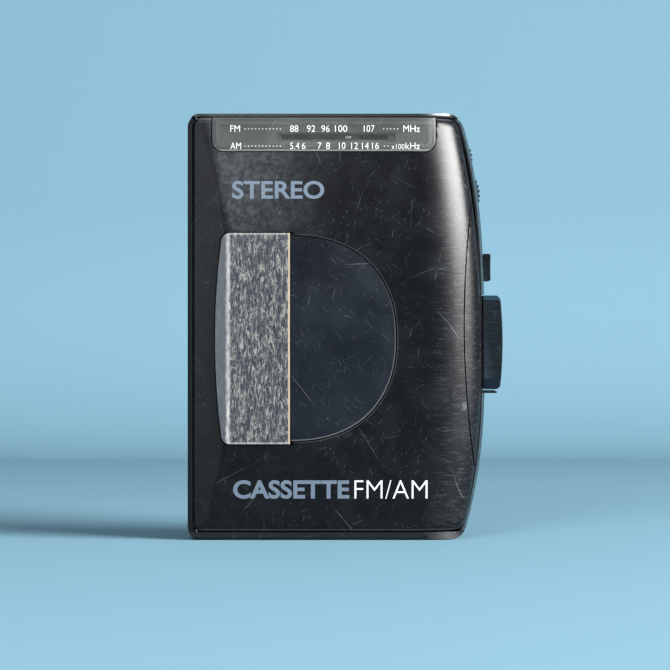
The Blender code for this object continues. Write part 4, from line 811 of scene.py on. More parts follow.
def finished(obj, name, finish, body, slot, *nodes):
    """Names the piece, gives it its finish, and hands it to its body in place of the frame's nodes."""
    obj.name = name
    obj.data.name = name
    obj.data.materials.clear()
    obj.data.materials.append(FINISHES[finish])
    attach(obj, body)
    if nodes:
        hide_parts(*nodes)
    return obj


def lathed(node, made_by, finish, slot, axis, centre, profile, sides=64, ring=False):
    """A turned piece in place of a frame node, on that node's body."""
    piece = soften(turned(node, axis, centre, profile, sides, ring), 0)
    return finished(piece, f"{node}_{made_by}", finish, body_of(node), slot, node)


def body_of(node):
    for body, members in frame["record"]["behaviour"]["bodies"].items():
        if node in members:
            return body
    raise KeyError(node)


def refined(node, name, finish, slot, edge=0.12 * MM):
    """A merged copy of a frame node with rounded edges, in its place."""
    mesh = frame["nodes"][node].data.copy()
    obj = linked(name, mesh)
    tidy = bmesh.new()
    tidy.from_mesh(mesh)
    bmesh.ops.remove_doubles(tidy, verts=tidy.verts, dist=3e-6)
    bmesh.ops.dissolve_limit(tidy, verts=tidy.verts, edges=tidy.edges, angle_limit=math.radians(0.4))
    tidy.to_mesh(mesh)
    tidy.free()
    soften(obj, edge)
    return finished(obj, name, finish, body_of(node), slot, node)


def merged(name, *objects):
    """One mesh object out of several."""
    tidy = bmesh.new()
    for obj in objects:
        tidy.from_mesh(obj.data)
        bpy.data.objects.remove(obj)
    mesh = bpy.data.meshes.new(name)
    tidy.to_mesh(mesh)
    tidy.free()
    return linked(name, mesh)


# Geometry Nodes

class Growth:
    """A Geometry Nodes tree with named inputs, which ends in Realize Instances and Set Material."""

    def __init__(self, name, sockets):
        self.tree = bpy.data.node_groups.new(name, "GeometryNodeTree")
        face = self.tree.interface
        face.new_socket("Geometry", in_out="INPUT", socket_type="NodeSocketGeometry")
        for label, kind in sockets:
            face.new_socket(label, in_out="INPUT", socket_type="NodeSocket" + kind)
        face.new_socket("Material", in_out="INPUT", socket_type="NodeSocketMaterial")
        face.new_socket("Geometry", in_out="OUTPUT", socket_type="NodeSocketGeometry")
        self.start = self.tree.nodes.new("NodeGroupInput").outputs

    def node(self, kind, settings, values, output=0):
        made = self.tree.nodes.new(kind)
        for label, value in settings.items():
            setattr(made, label, value)
        for label, value in values.items():
            if isinstance(value, bpy.types.NodeSocket):
                self.tree.links.new(value, made.inputs[label])
            else:
                made.inputs[label].default_value = value
        return made.outputs[output]

    def math(self, operation, first, second):
        return self.node("ShaderNodeMath", {"operation": operation}, {0: first, 1: second})

    def copies(self, points, **turned_by):
        """The source mesh at each of the points."""
        values = {"Points": points, "Instance": self.start["Geometry"], **turned_by}
        return self.node("GeometryNodeInstanceOnPoints", {}, values)

    def end(self, geometry):
        real = self.node("GeometryNodeRealizeInstances", {}, {"Geometry": geometry})
        dressed = self.node(
            "GeometryNodeSetMaterial", {}, {"Geometry": real, "Material": self.start["Material"]}
        )
        self.tree.links.new(dressed, self.tree.nodes.new("NodeGroupOutput").inputs["Geometry"])

    def grow(self, name, source, finish, **values):
        """The mesh object that the tree grows from the source's mesh; the source goes."""
        values["Material"] = FINISHES[finish]
        modifier = source.modifiers.new("growth", "NODES")
        modifier.node_group = self.tree
        for item in self.tree.interface.items_tree:
            label = item.name.replace(" ", "_")
            if item.in_out == "INPUT" and label in values:
                modifier[item.identifier] = values[label]
        mesh = baked(source)
        bpy.data.objects.remove(source)
        if not mesh.polygons:
            raise RuntimeError(f"{name} came out empty")
        mesh.shade_smooth()
        mesh.set_sharp_from_angle(angle=math.radians(SHARP_COPIES))
        return linked(name, mesh)


def row_growth():
    """Copies of the source mesh along a straight line."""
    row = Growth("row_of_pieces", [("Count", "Int"), ("Step", "Vector")])
    line = row.node("GeometryNodeMeshLine", {}, {"Count": row.start["Count"], "Offset": row.start["Step"]})
    row.end(row.copies(line))
    return row


def ring_growth():
    """Copies of the source mesh round a circle about the Y axis, each turned with its place."""
    ring = Growth("ring_of_pieces", [("Count", "Int"), ("Centre", "Vector")])
    line = ring.node("GeometryNodeMeshLine", {}, {"Count": ring.start["Count"], "Offset": (0, 0, 0)})
    index = ring.node("GeometryNodeInputIndex", {}, {})
    step = ring.math("DIVIDE", TAU, ring.start["Count"])
    turn = ring.math("MULTIPLY", index, step)
    spin = ring.node("ShaderNodeCombineXYZ", {}, {"Y": turn})
    placed = ring.copies(line, Rotation=spin)
    ring.end(
        ring.node("GeometryNodeTransform", {}, {"Geometry": placed, "Translation": ring.start["Centre"]})
    )
    return ring


def crowned_growth():
    """Copies of the source mesh up a line that falls back either side of its middle."""
    lengths = [(label, "Float") for label in ("Start", "Pitch", "Crown", "Middle", "Reach")]
    row = Growth("ribs_on_a_crown", [("Count", "Int")] + lengths)
    start = row.node("ShaderNodeCombineXYZ", {}, {"Z": row.start["Start"]})
    offset = row.node("ShaderNodeCombineXYZ", {}, {"Z": row.start["Pitch"]})
    values = {"Count": row.start["Count"], "Start Location": start, "Offset": offset}
    line = row.node("GeometryNodeMeshLine", {}, values)
    place = row.node("GeometryNodeInputPosition", {}, {})
    z = row.node("ShaderNodeSeparateXYZ", {}, {0: place}, "Z")
    away = row.math("SUBTRACT", z, row.start["Middle"])
    share = row.math("DIVIDE", away, row.start["Reach"])
    square = row.math("MULTIPLY", share, share)
    fall = row.math("MULTIPLY", square, row.start["Crown"])
    back = row.math("MULTIPLY", fall, -1.0)
    offset = row.node("ShaderNodeCombineXYZ", {}, {"X": back})
    crowned = row.node("GeometryNodeSetPosition", {}, {"Geometry": line, "Offset": offset})
    row.end(row.copies(crowned))
    return row


def scatter_growth():
    """Copies of the source mesh at the points of another object's mesh."""
    scatter = Growth("pieces_at_points", [("Places", "Object")])
    places = scatter.node("GeometryNodeObjectInfo", {}, {"Object": scatter.start["Places"]}, "Geometry")
    scatter.end(scatter.copies(places))
    return scatter


def sweep_growth():
    """Round wire along the source mesh's edges."""
    sweep = Growth("swept_wire", [("Radius", "Float"), ("Sides", "Int")])
    path = sweep.node("GeometryNodeMeshToCurve", {}, {"Mesh": sweep.start["Geometry"]})
    profile = sweep.node(
        "GeometryNodeCurvePrimitiveCircle", {},
        {"Resolution": sweep.start["Sides"], "Radius": sweep.start["Radius"]},
    )
    values = {"Curve": path, "Profile Curve": profile, "Fill Caps": True}
    sweep.end(sweep.node("GeometryNodeCurveToMesh", {}, values))
    return sweep


def wire_path(name, points, closed=False):
    """A helper mesh of edges only."""
    edges = [(i, i + 1) for i in range(len(points) - 1)]
    if closed:
        edges.append((len(points) - 1, 0))
    mesh = bpy.data.meshes.new(name)
    mesh.from_pydata(points, edges, [])
    return linked(name, mesh)


def helix(axis, centre, radius, start, end, turns, steps=20):
    """Points of a coil along an axis."""
    along_axis = "XYZ".index(axis)
    first = (along_axis + 1) % 3
    second = (along_axis + 2) % 3
    points = []
    for step in range(turns * steps + 1):
        share = step / (turns * steps)
        point = [0.0, 0.0, 0.0]
        point[along_axis] = start + (end - start) * share
        point[first] = centre[first] + radius * math.cos(TAU * step / steps)
        point[second] = centre[second] + radius * math.sin(TAU * step / steps)
        points.append(tuple(point))
    return points


# Shapes of this player

def quarter(steps=8):
    """Turns from 0 to 90 degrees, in radians."""
    return [math.pi / 2 * i / steps for i in range(steps + 1)]


def bowed_edge(z, widest, waist, bow_up, bow_down):
    """X of a right-hand edge that bows outwards at its waist."""
    drop, power = bow_up if z > waist else bow_down
    reach = BODY_HEIGHT - waist if z > waist else waist
    return widest - drop * (abs(z - waist) / reach) ** power


def housing_edge(z):
    return bowed_edge(z, BODY_HALF_WIDTH, HOUSING_WAIST, HOUSING_BOW_UP, HOUSING_BOW_DOWN)


def lid_edge(z):
    return bowed_edge(z, LID_RIGHT_X, LID_WAIST, LID_BOW_UP, LID_BOW_DOWN)


def corner_inset(distance, radius):
    """How far an edge stands in, this close to a rounded corner of that radius."""
    if distance >= radius:
        return 0.0
    return radius - math.sqrt(max(radius**2 - (radius - distance) ** 2, 0))


def heights(bottom, top, radius, between):
    """Heights from bottom to top, close together in the rounded corners."""
    bends = [radius * (1 - math.cos(turn)) for turn in quarter(10)]
    middle = [bottom + radius + (top - bottom - 2 * radius) * i / between for i in range(1, between)]
    return [bottom + bend for bend in bends] + middle + [top - bend for bend in reversed(bends)]


def housing_outline(inset):
    """The housing's outline as (x, z), stepped in by the inset."""
    radius = CORNER_RADIUS - min(inset, CORNER_RADIUS / 2)
    bottom = inset
    top = BODY_HEIGHT - inset
    right_side = []
    left_side = []
    for z in heights(bottom, top, radius, 40):
        right_side.append((housing_edge(z) - inset - corner_inset(min(z - bottom, top - z), radius), z))
    for z in heights(bottom, top, radius, 8):
        left_side.append((-BODY_HALF_WIDTH + inset + corner_inset(min(z - bottom, top - z), radius), z))
    return right_side + left_side[::-1]


def housing_stack(name, levels):
    """The housing's outline carried through (y, inset) levels."""
    return stack(name, [[(x, y, z) for x, z in housing_outline(inset)] for y, inset in levels])


def rounded_back(inset):
    """(y, inset) levels of a rounded back edge."""
    radius = BACK_EDGE_RADIUS - min(inset, BACK_EDGE_RADIUS / 2)
    back = BACK_Y - inset
    levels = []
    for turn in quarter():
        levels.append((back - radius + radius * math.sin(turn), inset + radius * (1 - math.cos(turn))))
    return levels


def soft_ramp(distance):
    """Zero well before the start, rising in step with the distance after it."""
    return (distance + math.sqrt(distance**2 + BEND_SOFTNESS**2)) / 2


def bend_fall(z):
    return BEND_TOP_SLOPE * soft_ramp(z - BEND_TOP_Z) + BEND_BOTTOM_SLOPE * soft_ramp(BEND_BOTTOM_Z - z)


def face_bend(z):
    """How far the front face falls back towards the top and bottom."""
    return max(bend_fall(z) - bend_fall((BEND_TOP_Z + BEND_BOTTOM_Z) / 2), 0)


def crease_x(z):
    """Where the left facet meets the main face."""
    return CREASE_X - face_bend(z) / FACET_SLOPE


def lid_front(x, z):
    """Y of the lid's front surface, without the rounding of its rim."""
    flat = FRONT_Y + face_bend(z)
    crown_start = lid_edge(z) - CROWN_WIDTH
    if x > crown_start:
        along = min((x - crown_start) / CROWN_WIDTH, 1)
        return LID_REAR_Y - (LID_REAR_Y - flat) * math.sqrt(1 - along**2)
    return max(flat, FRONT_Y + FACET_SLOPE * (CREASE_X - x))


def behind_face(depth):
    """A surface this far behind the lid's front, as a function of x and z."""
    return lambda x, z: lid_front(x, z) + depth


def lid_section(z):
    """One level of the lid's outer shape, from its rear left round the front to its rear right."""
    end = min(z - LID_BOTTOM_Z, LID_TOP_Z - z)
    rim = corner_inset(end, LID_EDGE_RADIUS)
    corner = corner_inset(end, LID_CORNER)
    points = []
    for turn in reversed(quarter()):
        points.append(
            (HINGE_X + corner - HINGE_RADIUS * math.cos(turn), HINGE_Y + HINGE_RADIUS * math.sin(turn))
        )
    left = LID_LEFT_X + corner
    for turn in quarter():
        x = left + LID_EDGE_RADIUS * (1 - math.cos(turn))
        points.append((x, lid_front(x, z) + LID_EDGE_RADIUS * (1 - math.sin(turn)) + rim))
    left += LID_EDGE_RADIUS
    crease = max(crease_x(z), left + 0.6 * MM)
    crown_start = lid_edge(z) - CROWN_WIDTH
    flat = FRONT_Y + face_bend(z)
    for x in (left + (crease - left) * 0.5, crease - 0.25 * MM):
        points.append((x, lid_front(x, z) + rim))
    points.append((crease, flat + rim + 0.013 * MM))
    for i in range(15):
        x = crease + 0.25 * MM + (crown_start - crease - 0.25 * MM) * i / 15
        points.append((x, flat + rim))
    for i in range(25):
        turn = math.pi / 2 * i / 24
        y = LID_REAR_Y - (LID_REAR_Y - flat - rim) * math.cos(turn)
        points.append((crown_start + (CROWN_WIDTH - corner) * math.sin(turn), y))
    return [(x, y, z) for x, y in points]


def lid_body(name):
    return stack(name, [lid_section(z) for z in heights(LID_BOTTOM_Z, LID_TOP_Z, LID_CORNER, 70)])


def lid_hollow(name):
    """The space inside the lid, open at its rear."""
    deep = LID_REAR_Y + 4 * MM
    step_y = HINGE_Y - HINGE_RADIUS
    rings = []
    bottom = LID_BOTTOM_Z + LID_WALL
    top = LID_TOP_Z - LID_WALL
    for i in range(31):
        z = bottom + (top - bottom) * i / 30
        flat = FRONT_Y + face_bend(z) + LID_WALL
        left = LID_LEFT_X + LID_WALL
        crown_start = lid_edge(z) - CROWN_WIDTH
        points = [(HINGE_X + HINGE_RADIUS, deep), (HINGE_X + HINGE_RADIUS, step_y), (left, step_y)]
        points.append((left, FRONT_Y + FACET_SLOPE * (CREASE_X - left) + LID_WALL))
        points.append((max(crease_x(z), left + 0.3 * MM), flat))
        for turn in quarter(12):
            x = crown_start + (CROWN_WIDTH - LID_WALL) * math.sin(turn)
            points.append((x, LID_REAR_Y - (LID_REAR_Y - flat) * math.cos(turn)))
        points.append((crown_start + CROWN_WIDTH - LID_WALL, deep))
        rings.append([(x, y, z) for x, y in points])
    return stack(name, rings)


def pane_outline(inset, left):
    """The D of the window from its straight left side, with a superelliptic right side."""
    width = PANE_WIDTH - inset
    height = PANE_HALF_HEIGHT - inset
    outline = [(left, PANE_CENTRE_Z - height)]
    for i in range(1, 72):
        turn = math.radians(-90 + 180 * i / 72)
        across = math.cos(turn) ** (2 / PANE_POWER)
        along = math.copysign(abs(math.sin(turn)) ** (2 / PANE_POWER), turn)
        outline.append((PANE_LEFT_X + width * across, PANE_CENTRE_Z + height * along))
    outline.append((left, PANE_CENTRE_Z + height))
    return outline


def band_outline(inset, right):
    """The band: straight on the right, bulging on the left, with two rounded corners."""
    half = BAND_HALF_HEIGHT - inset
    outline = [(right, PANE_CENTRE_Z - half)]
    corner_x = BAND_LEFT_X + BAND_BULGE + BAND_CORNER
    for side in (-1, 1):
        arc = []
        for turn in quarter():
            x = corner_x - (BAND_CORNER - inset) * math.sin(turn)
            arc.append((x, PANE_CENTRE_Z + side * (half - BAND_CORNER + BAND_CORNER * math.cos(turn))))
        outline += arc if side < 0 else arc[::-1]
        if side < 0:
            straight = half - BAND_CORNER
            for step in range(-11, 12):
                share = step / 12
                bulge = BAND_BULGE * (1 - share**2)
                outline.append((BAND_LEFT_X + BAND_BULGE + inset - bulge, PANE_CENTRE_Z + straight * share))
    outline.append((right, PANE_CENTRE_Z + half))
    return outline


def lens_outline(inset, top):
    """The dial lens: square at the top, rounded at its two bottom corners."""
    left = LENS_LEFT_X + inset
    right = LENS_RIGHT_X - inset
    bottom = LENS_BOTTOM_Z + inset
    radius = LENS_CORNER - min(inset, LENS_CORNER / 2)
    outline = [(left, top)]
    for turn in quarter():
        outline.append((left + radius * (1 - math.cos(turn)), bottom + radius * (1 - math.sin(turn))))
    for turn in reversed(quarter()):
        outline.append((right - radius * (1 - math.cos(turn)), bottom + radius * (1 - math.sin(turn))))
    outline.append((right, top))
    return outline


def seam_outline(offset):
    """The region right of the key panel's seam, stepped in by the offset."""
    bottom = SEAM_BOTTOM_Z + offset
    top = SEAM_TOP_Z - offset
    outline = [(BESIDE_X, top), (BESIDE_X, bottom)]
    for i in range(41):
        z = bottom + (top - bottom) * i / 40
        outline.append((SEAM_X + offset + (z - SEAM_Z) ** 2 / (2 * SEAM_RADIUS), z))
    return outline


def key_x(z):
    """The keys' outer face, gently crowned."""
    middle = (KEY_BOTTOM_Z + KEY_TOP_Z) / 2
    half = (KEY_TOP_Z - KEY_BOTTOM_Z) / 2
    return KEY_OUTER_X - KEY_CROWN * ((z - middle) / half) ** 2


def make_housing():
    """The rear shell with its battery bay, posts and side openings."""
    levels = [
        (LIP_FRONT_Y, 0.8 * MM), (LIP_FRONT_Y + 0.15 * MM, 0.5 * MM), (LIP_FRONT_Y + 0.4 * MM, 0.25 * MM)
    ]
    levels += [(LIP_FRONT_Y + 1 * MM, 0.2 * MM), (PARTING_Y, 0)]
    housing = housing_stack("housing_shell", levels + rounded_back(0))
    trim_high = (BESIDE_X, PARTING_Y, BODY_HEIGHT - TOP_LIP)
    trim = box("trim", (-BESIDE_X, FRONT_Y - 1 * MM, BASE_LIP), trim_high)
    hollow = housing_stack("hollow", [(PARTING_Y - CLEARANCE, WALL)] + rounded_back(WALL))
    cut(housing, trim, hollow)
    cut(housing, lip_room("lip_room"), side_slope("side_slope"))
    low = (KEY_INNER_X - 1.5 * MM, KEY_FRONT_Y + 0.5 * MM, KEY_BOTTOM_Z - 1.1 * MM)
    bank_back = KEY_FRONT_Y + 2 * KEY_PITCH + KEY_WIDTH
    join(
        housing,
        box("key_ledge", low, (KEY_INNER_X + 3.8 * MM, bank_back - 0.5 * MM, KEY_BOTTOM_Z - 0.6 * MM)),
    )
    add_bay(housing)
    add_posts(housing)
    cut_side_openings(housing)
    place = (HINGE_X, HINGE_Y, 0)
    radius = HINGE_PIN_RADIUS + CLEARANCE
    top = rod("hole_top", "Z", place, radius, LID_TOP_Z - 2 * MM, BODY_HEIGHT - 0.4 * MM)
    bottom = rod("hole_bottom", "Z", place, radius, 1 * MM, LID_BOTTOM_Z + 2 * MM)
    cut(housing, top, bottom)
    soften(housing, 0.16 * MM)
    return finished(housing, "housing_shell", "back", "chassis", "housing", "rear_housing")


def lip_room(name):
    """The space in front of the housing's lips, which follow the lid's front as it curves back."""
    def front(x, z):
        return AHEAD_Y

    def back(x, z):
        ends = LID_TOP_Z if z > BODY_HEIGHT / 2 else LID_BOTTOM_Z
        turn_in = corner_inset(x + BODY_HALF_WIDTH, 2 * MM) if x > -BODY_HALF_WIDTH else 2 * MM
        return min(
            max(lid_front(x, ends) + 1 * MM, LIP_FRONT_Y - 0.5 * MM + turn_in), PARTING_Y - 0.02 * MM
        )

    reach = BODY_HALF_WIDTH + 1 * MM
    return slab(name, (-reach, reach), (-1 * MM, BODY_HEIGHT + 1 * MM), front, back, 300, 7)


def side_slope(name):
    """Room beside the housing's front edge on the right, which leaves it sloping."""
    rings = []
    for i in range(61):
        z = BASE_LIP + (BODY_HEIGHT - TOP_LIP - BASE_LIP) * i / 60
        edge = housing_edge(z) - corner_inset(min(z, BODY_HEIGHT - z), CORNER_RADIUS)
        out = edge + 2 * MM
        front, back = PARTING_Y - 0.5 * MM, PARTING_Y + 4.5 * MM
        rings.append(
            [(edge - 1.0 * MM, front, z), (out, front, z), (out, back, z), (edge + 0.01 * MM, back, z)]
        )
    return stack(name, rings)


def add_bay(housing):
    """The battery bay is a box inside the housing, open to the back."""
    skin = BAY_WALL + COVER_MARGIN
    back_inside = BACK_Y - WALL
    low = (BAY_LEFT_X - skin - 1 * MM, BAY_FLOOR_Y - 1 * MM, WALL / 2)
    high = (BAY_RIGHT_X + skin, back_inside + WALL / 2, BAY_TOP_Z + BAY_WALL + 2 * COVER_HINGE_RADIUS)
    shell = box("bay_shell", low, high)
    top = BAY_TOP_Z + 2 * COVER_HINGE_RADIUS - 0.5 * MM
    room = box(
        "bay_room", (BAY_LEFT_X, BAY_FLOOR_Y, BAY_BOTTOM_Z), (BAY_RIGHT_X, BACK_Y + 5 * MM, BAY_TOP_Z)
    )
    left = BAY_LEFT_X - COVER_MARGIN - CLEARANCE
    right = BAY_RIGHT_X + COVER_MARGIN + CLEARANCE
    seat_y = BACK_Y - COVER_THICKNESS - CLEARANCE
    seat = box("cover_seat", (left, seat_y, BAY_BOTTOM_Z), (right, BACK_Y + 5 * MM, top))
    centre = (0, COVER_HINGE_Y, COVER_HINGE_Z)
    groove = rod("cover_groove", "X", centre, COVER_HINGE_RADIUS + CLEARANCE, left, right)
    holes = rod(
        "cover_pin_holes", "X", centre, COVER_PIN_RADIUS + CLEARANCE, left - 1.2 * MM, right + 1.2 * MM
    )
    join(housing, shell)
    cut(housing, room)
    cut(housing, seat)
    cut(housing, groove)
    cut(housing, holes)


def add_posts(housing):
    """Posts from the back wall carry the deck, the board and the motor, and take the screws."""
    back_inside = BACK_Y - WALL
    for x, z in SCREW_PLACES:
        front = BOARD_FRONT_Y + BOARD_THICKNESS if z > BOARD_BOTTOM_Z else DECK_FRONT_Y + DECK_THICKNESS
        join(
            housing, rod("post", "Y", (x, 0, z), POST_RADIUS, front + CLEARANCE, back_inside + WALL / 2, 32)
        )
    rear = MOTOR_FRONT_Y + MOTOR_LENGTH + CLEARANCE
    join(housing, rod("cradle", "Y", (MOTOR_X, 0, MOTOR_Z), 4 * MM, rear, back_inside + WALL / 2, 32))
    for x, z in SCREW_PLACES:
        head_front = BACK_Y - SCREW_HEAD_DEPTH - 2 * CLEARANCE
        profile = [
            (SCREW_RADIUS + CLEARANCE, head_front - SCREW_LENGTH),
            (SCREW_RADIUS + CLEARANCE, head_front),
            (SCREW_HEAD_RADIUS + CLEARANCE, head_front + 0.1 * MM),
            (SCREW_HEAD_RADIUS + CLEARANCE, BACK_Y + 1 * MM),
        ]
        cut(housing, turned("screw_hole", "Y", (x, 0, z), profile, 32))


def cut_side_openings(housing):
    """Openings for the keys, the selector, the thumbwheels and the two sockets."""
    inner = BODY_HALF_WIDTH - 8 * MM
    outer = BODY_HALF_WIDTH + 5 * MM
    gap = CLEARANCE
    bank_back = KEY_FRONT_Y + 2 * KEY_PITCH + KEY_WIDTH
    low = (GUIDE_X, KEY_FRONT_Y - gap, KEY_BOTTOM_Z - gap)
    cut(housing, box("keys_opening", low, (outer, bank_back + gap, KEY_TOP_Z + gap)))
    middle = (SELECTOR_BOTTOM_Z + SELECTOR_TOP_Z) / 2
    reach = 1.5 * MM + SELECTOR_TRAVEL + gap
    low = (inner, SELECTOR_Y - 1.5 * MM, middle - reach)
    cut(housing, box("selector_opening", low, (outer, SELECTOR_Y + 1.5 * MM, middle + reach)))
    for radius, x, z, front, back in (TUNING_WHEEL, VOLUME_WHEEL):
        cut(housing, rod("wheel_slot", "Y", (x, 0, z), radius + 2 * gap, front - gap, back + gap, 96))
    for z, radius, _ in JACKS.values():
        cut(housing, rod("jack_hole", "X", (0, JACK_Y, z), radius + gap, -outer, -inner, 40))


def make_lid():
    """The hinged front cover, with openings for the dial and the window."""
    lid = lid_body("lid_shell")
    deep = LID_REAR_Y + 2 * MM
    front = FRONT_Y - 2 * MM
    cut(lid, lid_hollow("lid_hollow"))
    cut(lid, prism("side_cut", seam_outline(0), front, deep))
    cut(lid, prism("dial_notch", lens_outline(-CLEARANCE, LID_TOP_Z + 1 * MM), front, deep))
    cut(lid, prism("pane_hole", pane_outline(-CLEARANCE, PANE_LEFT_X - 2 * MM), front, deep - 5 * MM))
    cut(
        lid,
        prism("band_hole", band_outline(-CLEARANCE, PANE_LEFT_X + 1 * MM), front - 1 * MM, deep - 4 * MM),
    )
    place = (HINGE_X, HINGE_Y, 0)
    depth = HINGE_PIN_DEPTH + CLEARANCE
    radius = HINGE_PIN_RADIUS + CLEARANCE
    cut(lid, rod("hole_top", "Z", place, radius, LID_TOP_Z - depth, LID_TOP_Z + 1 * MM))
    cut(lid, rod("hole_bottom", "Z", place, radius, LID_BOTTOM_Z - 1 * MM, LID_BOTTOM_Z + depth))
    soften(lid, 0.14 * MM)
    finished(lid, "lid_shell", "black", "lid", "housing", "front_lid")
    for node in ("lid_hinge_pin_top", "lid_hinge_pin_bottom"):
        low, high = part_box(node)
        profile = around(HINGE_PIN_RADIUS, low.z, (-0.25, 0), (0, 0.25))
        profile += around(HINGE_PIN_RADIUS, high.z, (0, -0.25), (-0.25, 0))
        lathed(node, "turned", "bright", "steel", "Z", place, profile, 24)
    for node in ("cassette_spring_upper", "cassette_spring_lower"):
        refined(node, node + "_leaf", "bright", "steel", 0.06 * MM)


def make_key_panel():
    """The part of the crown right of the seam, which stays on the housing."""
    panel = lid_body("side_panel")
    keep_inside(
        panel, prism("panel_region", seam_outline(CLEARANCE), FRONT_Y - 2 * MM, LID_REAR_Y + 2 * MM)
    )
    wall = 1.2 * MM
    rings = []
    for i in range(25):
        z = SEAM_BOTTOM_Z + 4 * MM + (SEAM_TOP_Z - SEAM_BOTTOM_Z - 8 * MM) * i / 24
        left = SEAM_X + CLEARANCE + wall + (z - SEAM_Z) ** 2 / (2 * SEAM_RADIUS)
        right = max(lid_edge(z) - wall, left + 0.2 * MM)
        front_y = max(lid_front(left, z), lid_front((left + right) / 2, z)) + wall
        corner_y = min(lid_front(right, z) + wall, LID_REAR_Y - 0.5 * MM)
        back = LID_REAR_Y + 2 * MM
        rings.append([(left, back, z), (left, front_y, z), (right, corner_y, z), (right, back, z)])
    cut(panel, stack("panel_hollow", rings))
    soften(panel, 0.14 * MM)
    return finished(panel, "side_panel", "black", "chassis", "housing", "key_panel")


def make_window():
    """The smoked pane, a little below the lid's face, and the thick band that stands proud of it."""
    pane_front = behind_face(PANE_RECESS)
    pane_back = behind_face(PANE_RECESS + PANE_THICKNESS)
    band_front = behind_face(-BAND_PROUD)
    band_back = behind_face(BAND_THICKNESS - BAND_PROUD)
    reach = (PANE_CENTRE_Z - 32 * MM, PANE_CENTRE_Z + 32 * MM)
    pane = slab(
        "window_pane", (PANE_LEFT_X - 1 * MM, PANE_LEFT_X + 32 * MM), reach, pane_front, pane_back, 40, 90
    )
    keep_inside(pane, prism("pane_edge", pane_outline(0, PANE_LEFT_X + CLEARANCE), AHEAD_Y, 0))
    soften(pane, 0.12 * MM)
    finished(pane, "window_pane", "pane", "lid", "window", "lid_window")
    across = (BAND_LEFT_X - 1 * MM, PANE_LEFT_X + 1 * MM)
    band = slab("window_bar", across, reach, band_front, band_back, 114, 90)
    keep_inside(band, prism("band_edge", band_outline(0, PANE_LEFT_X), AHEAD_Y, 0))
    soften(band, 0.45 * MM, 4, 50)
    finished(band, "window_bar", "band", "lid", "band", "window_band")


def make_dial():
    """The dial's lens with its skirt, the slotted scale plate, the tray and the pointer."""
    top = LID_TOP_Z
    edge = LENS_SKIRT

    def skirt_back(x, z):
        return SCALE_Y - CLEARANCE

    x_range = (LENS_LEFT_X - 1 * MM, LENS_RIGHT_X + 1 * MM)
    z_range = (LENS_BOTTOM_Z - 1 * MM, top + 1 * MM)
    lens = slab("dial_glass", x_range, z_range, lid_front, behind_face(LENS_THICKNESS), 128, 24)
    keep_inside(lens, prism("lens_edge", lens_outline(0, top), AHEAD_Y, 0))
    soften(lens, 0.16 * MM, 3)
    skirt = slab("lens_skirt", x_range, z_range, behind_face(LENS_THICKNESS / 2), skirt_back, 64, 12)
    keep_inside(skirt, prism("skirt_edge", lens_outline(edge, top - edge), AHEAD_Y, SCALE_Y + 1 * MM))
    cut(skirt, prism("lens_inside", lens_outline(2 * edge, top - 2 * edge), AHEAD_Y, SCALE_Y + 1 * MM))
    # The skirt's finish is painted dark as shade.
    finished(soften(skirt, 0.08 * MM), "dial_glass_skirt", "skirt", "chassis", "dial")
    finished(lens, "dial_glass", "glass", "chassis", "dial", "dial_lens")
    refined("dial_scale", "dial_scale_plate", "scale", "inner_plastic", 0.1 * MM)
    refined("dial_tray", "dial_tray_frame", "inner", "inner_plastic", 0.1 * MM)
    low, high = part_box("dial_pointer")
    middle = (low + high) / 2
    tip_low = (middle.x - 0.85 * MM, low.y, middle.z - 0.5 * MM)
    tip = box("tip", tip_low, (middle.x + 0.85 * MM, high.y - 1.6 * MM, middle.z + 0.3 * MM))
    finished(soften(tip, 0.15 * MM), "tuning_pointer", "pointer", "pointer", "pointer", "dial_pointer")
    carriage = box("carriage", (low.x, high.y - 1.5 * MM, low.z), high)
    finished(soften(carriage, 0.2 * MM), "pointer_carriage", "inner", "pointer", "pointer")


# Dial markings as (text, left, right, bottom, top), in millimetres
FM_ROW = (113.55, 115.4)
AM_ROW = (108.75, 110.6)
DIAL_WORDS = (
    ("FM", -29.5, -26.8, *FM_ROW),
    ("88", -12.9, -10.6, *FM_ROW),
    ("92", -8.2, -5.9, *FM_ROW),
    ("96", -4.2, -1.9, *FM_ROW),
    ("100", -0.4, 3.0, *FM_ROW),
    ("107", 7.6, 10.6, *FM_ROW),
    ("MHz", 18.6, 23.2, *FM_ROW),
    ("AM", -29.5, -26.5, *AM_ROW),
    ("5.4", -12.9, -10.3, *AM_ROW),
    ("6", -9.6, -8.6, *AM_ROW),
    ("7", -5.2, -4.2, *AM_ROW),
    ("8", -2.9, -1.8, *AM_ROW),
    ("10", 0.7, 2.5, *AM_ROW),
    ("12", 4.1, 6.0, *AM_ROW),
    ("14", 7.1, 9.0, *AM_ROW),
    ("16", 9.9, 11.8, *AM_ROW),
    ("x100", 15.3, 18.9, 108.75, 110.2),
    ("kHz", 19.2, 23.2, *AM_ROW),
)
DIAL_DOTS = ((11, -25.4, 114.4), (5, 13.1, 114.4), (11, -25.4, 109.6), (2, 13.3, 109.6))
DOT_PITCH = 0.98 * MM
FRONT_WORDS = (
    ("STEREO", -29.0, -3.4, 94.9, 99.9, 0.022, "upper_lettering", "blue_ink"),
    ("CASSETTE", -28.7, 3.6, 11.6, 16.8, 0.030, "lower_lettering", "blue_ink"),
    ("FM/AM", 5.0, 25.3, 11.6, 16.8, -0.012, "lower_thin_lettering", "white_ink"),
)


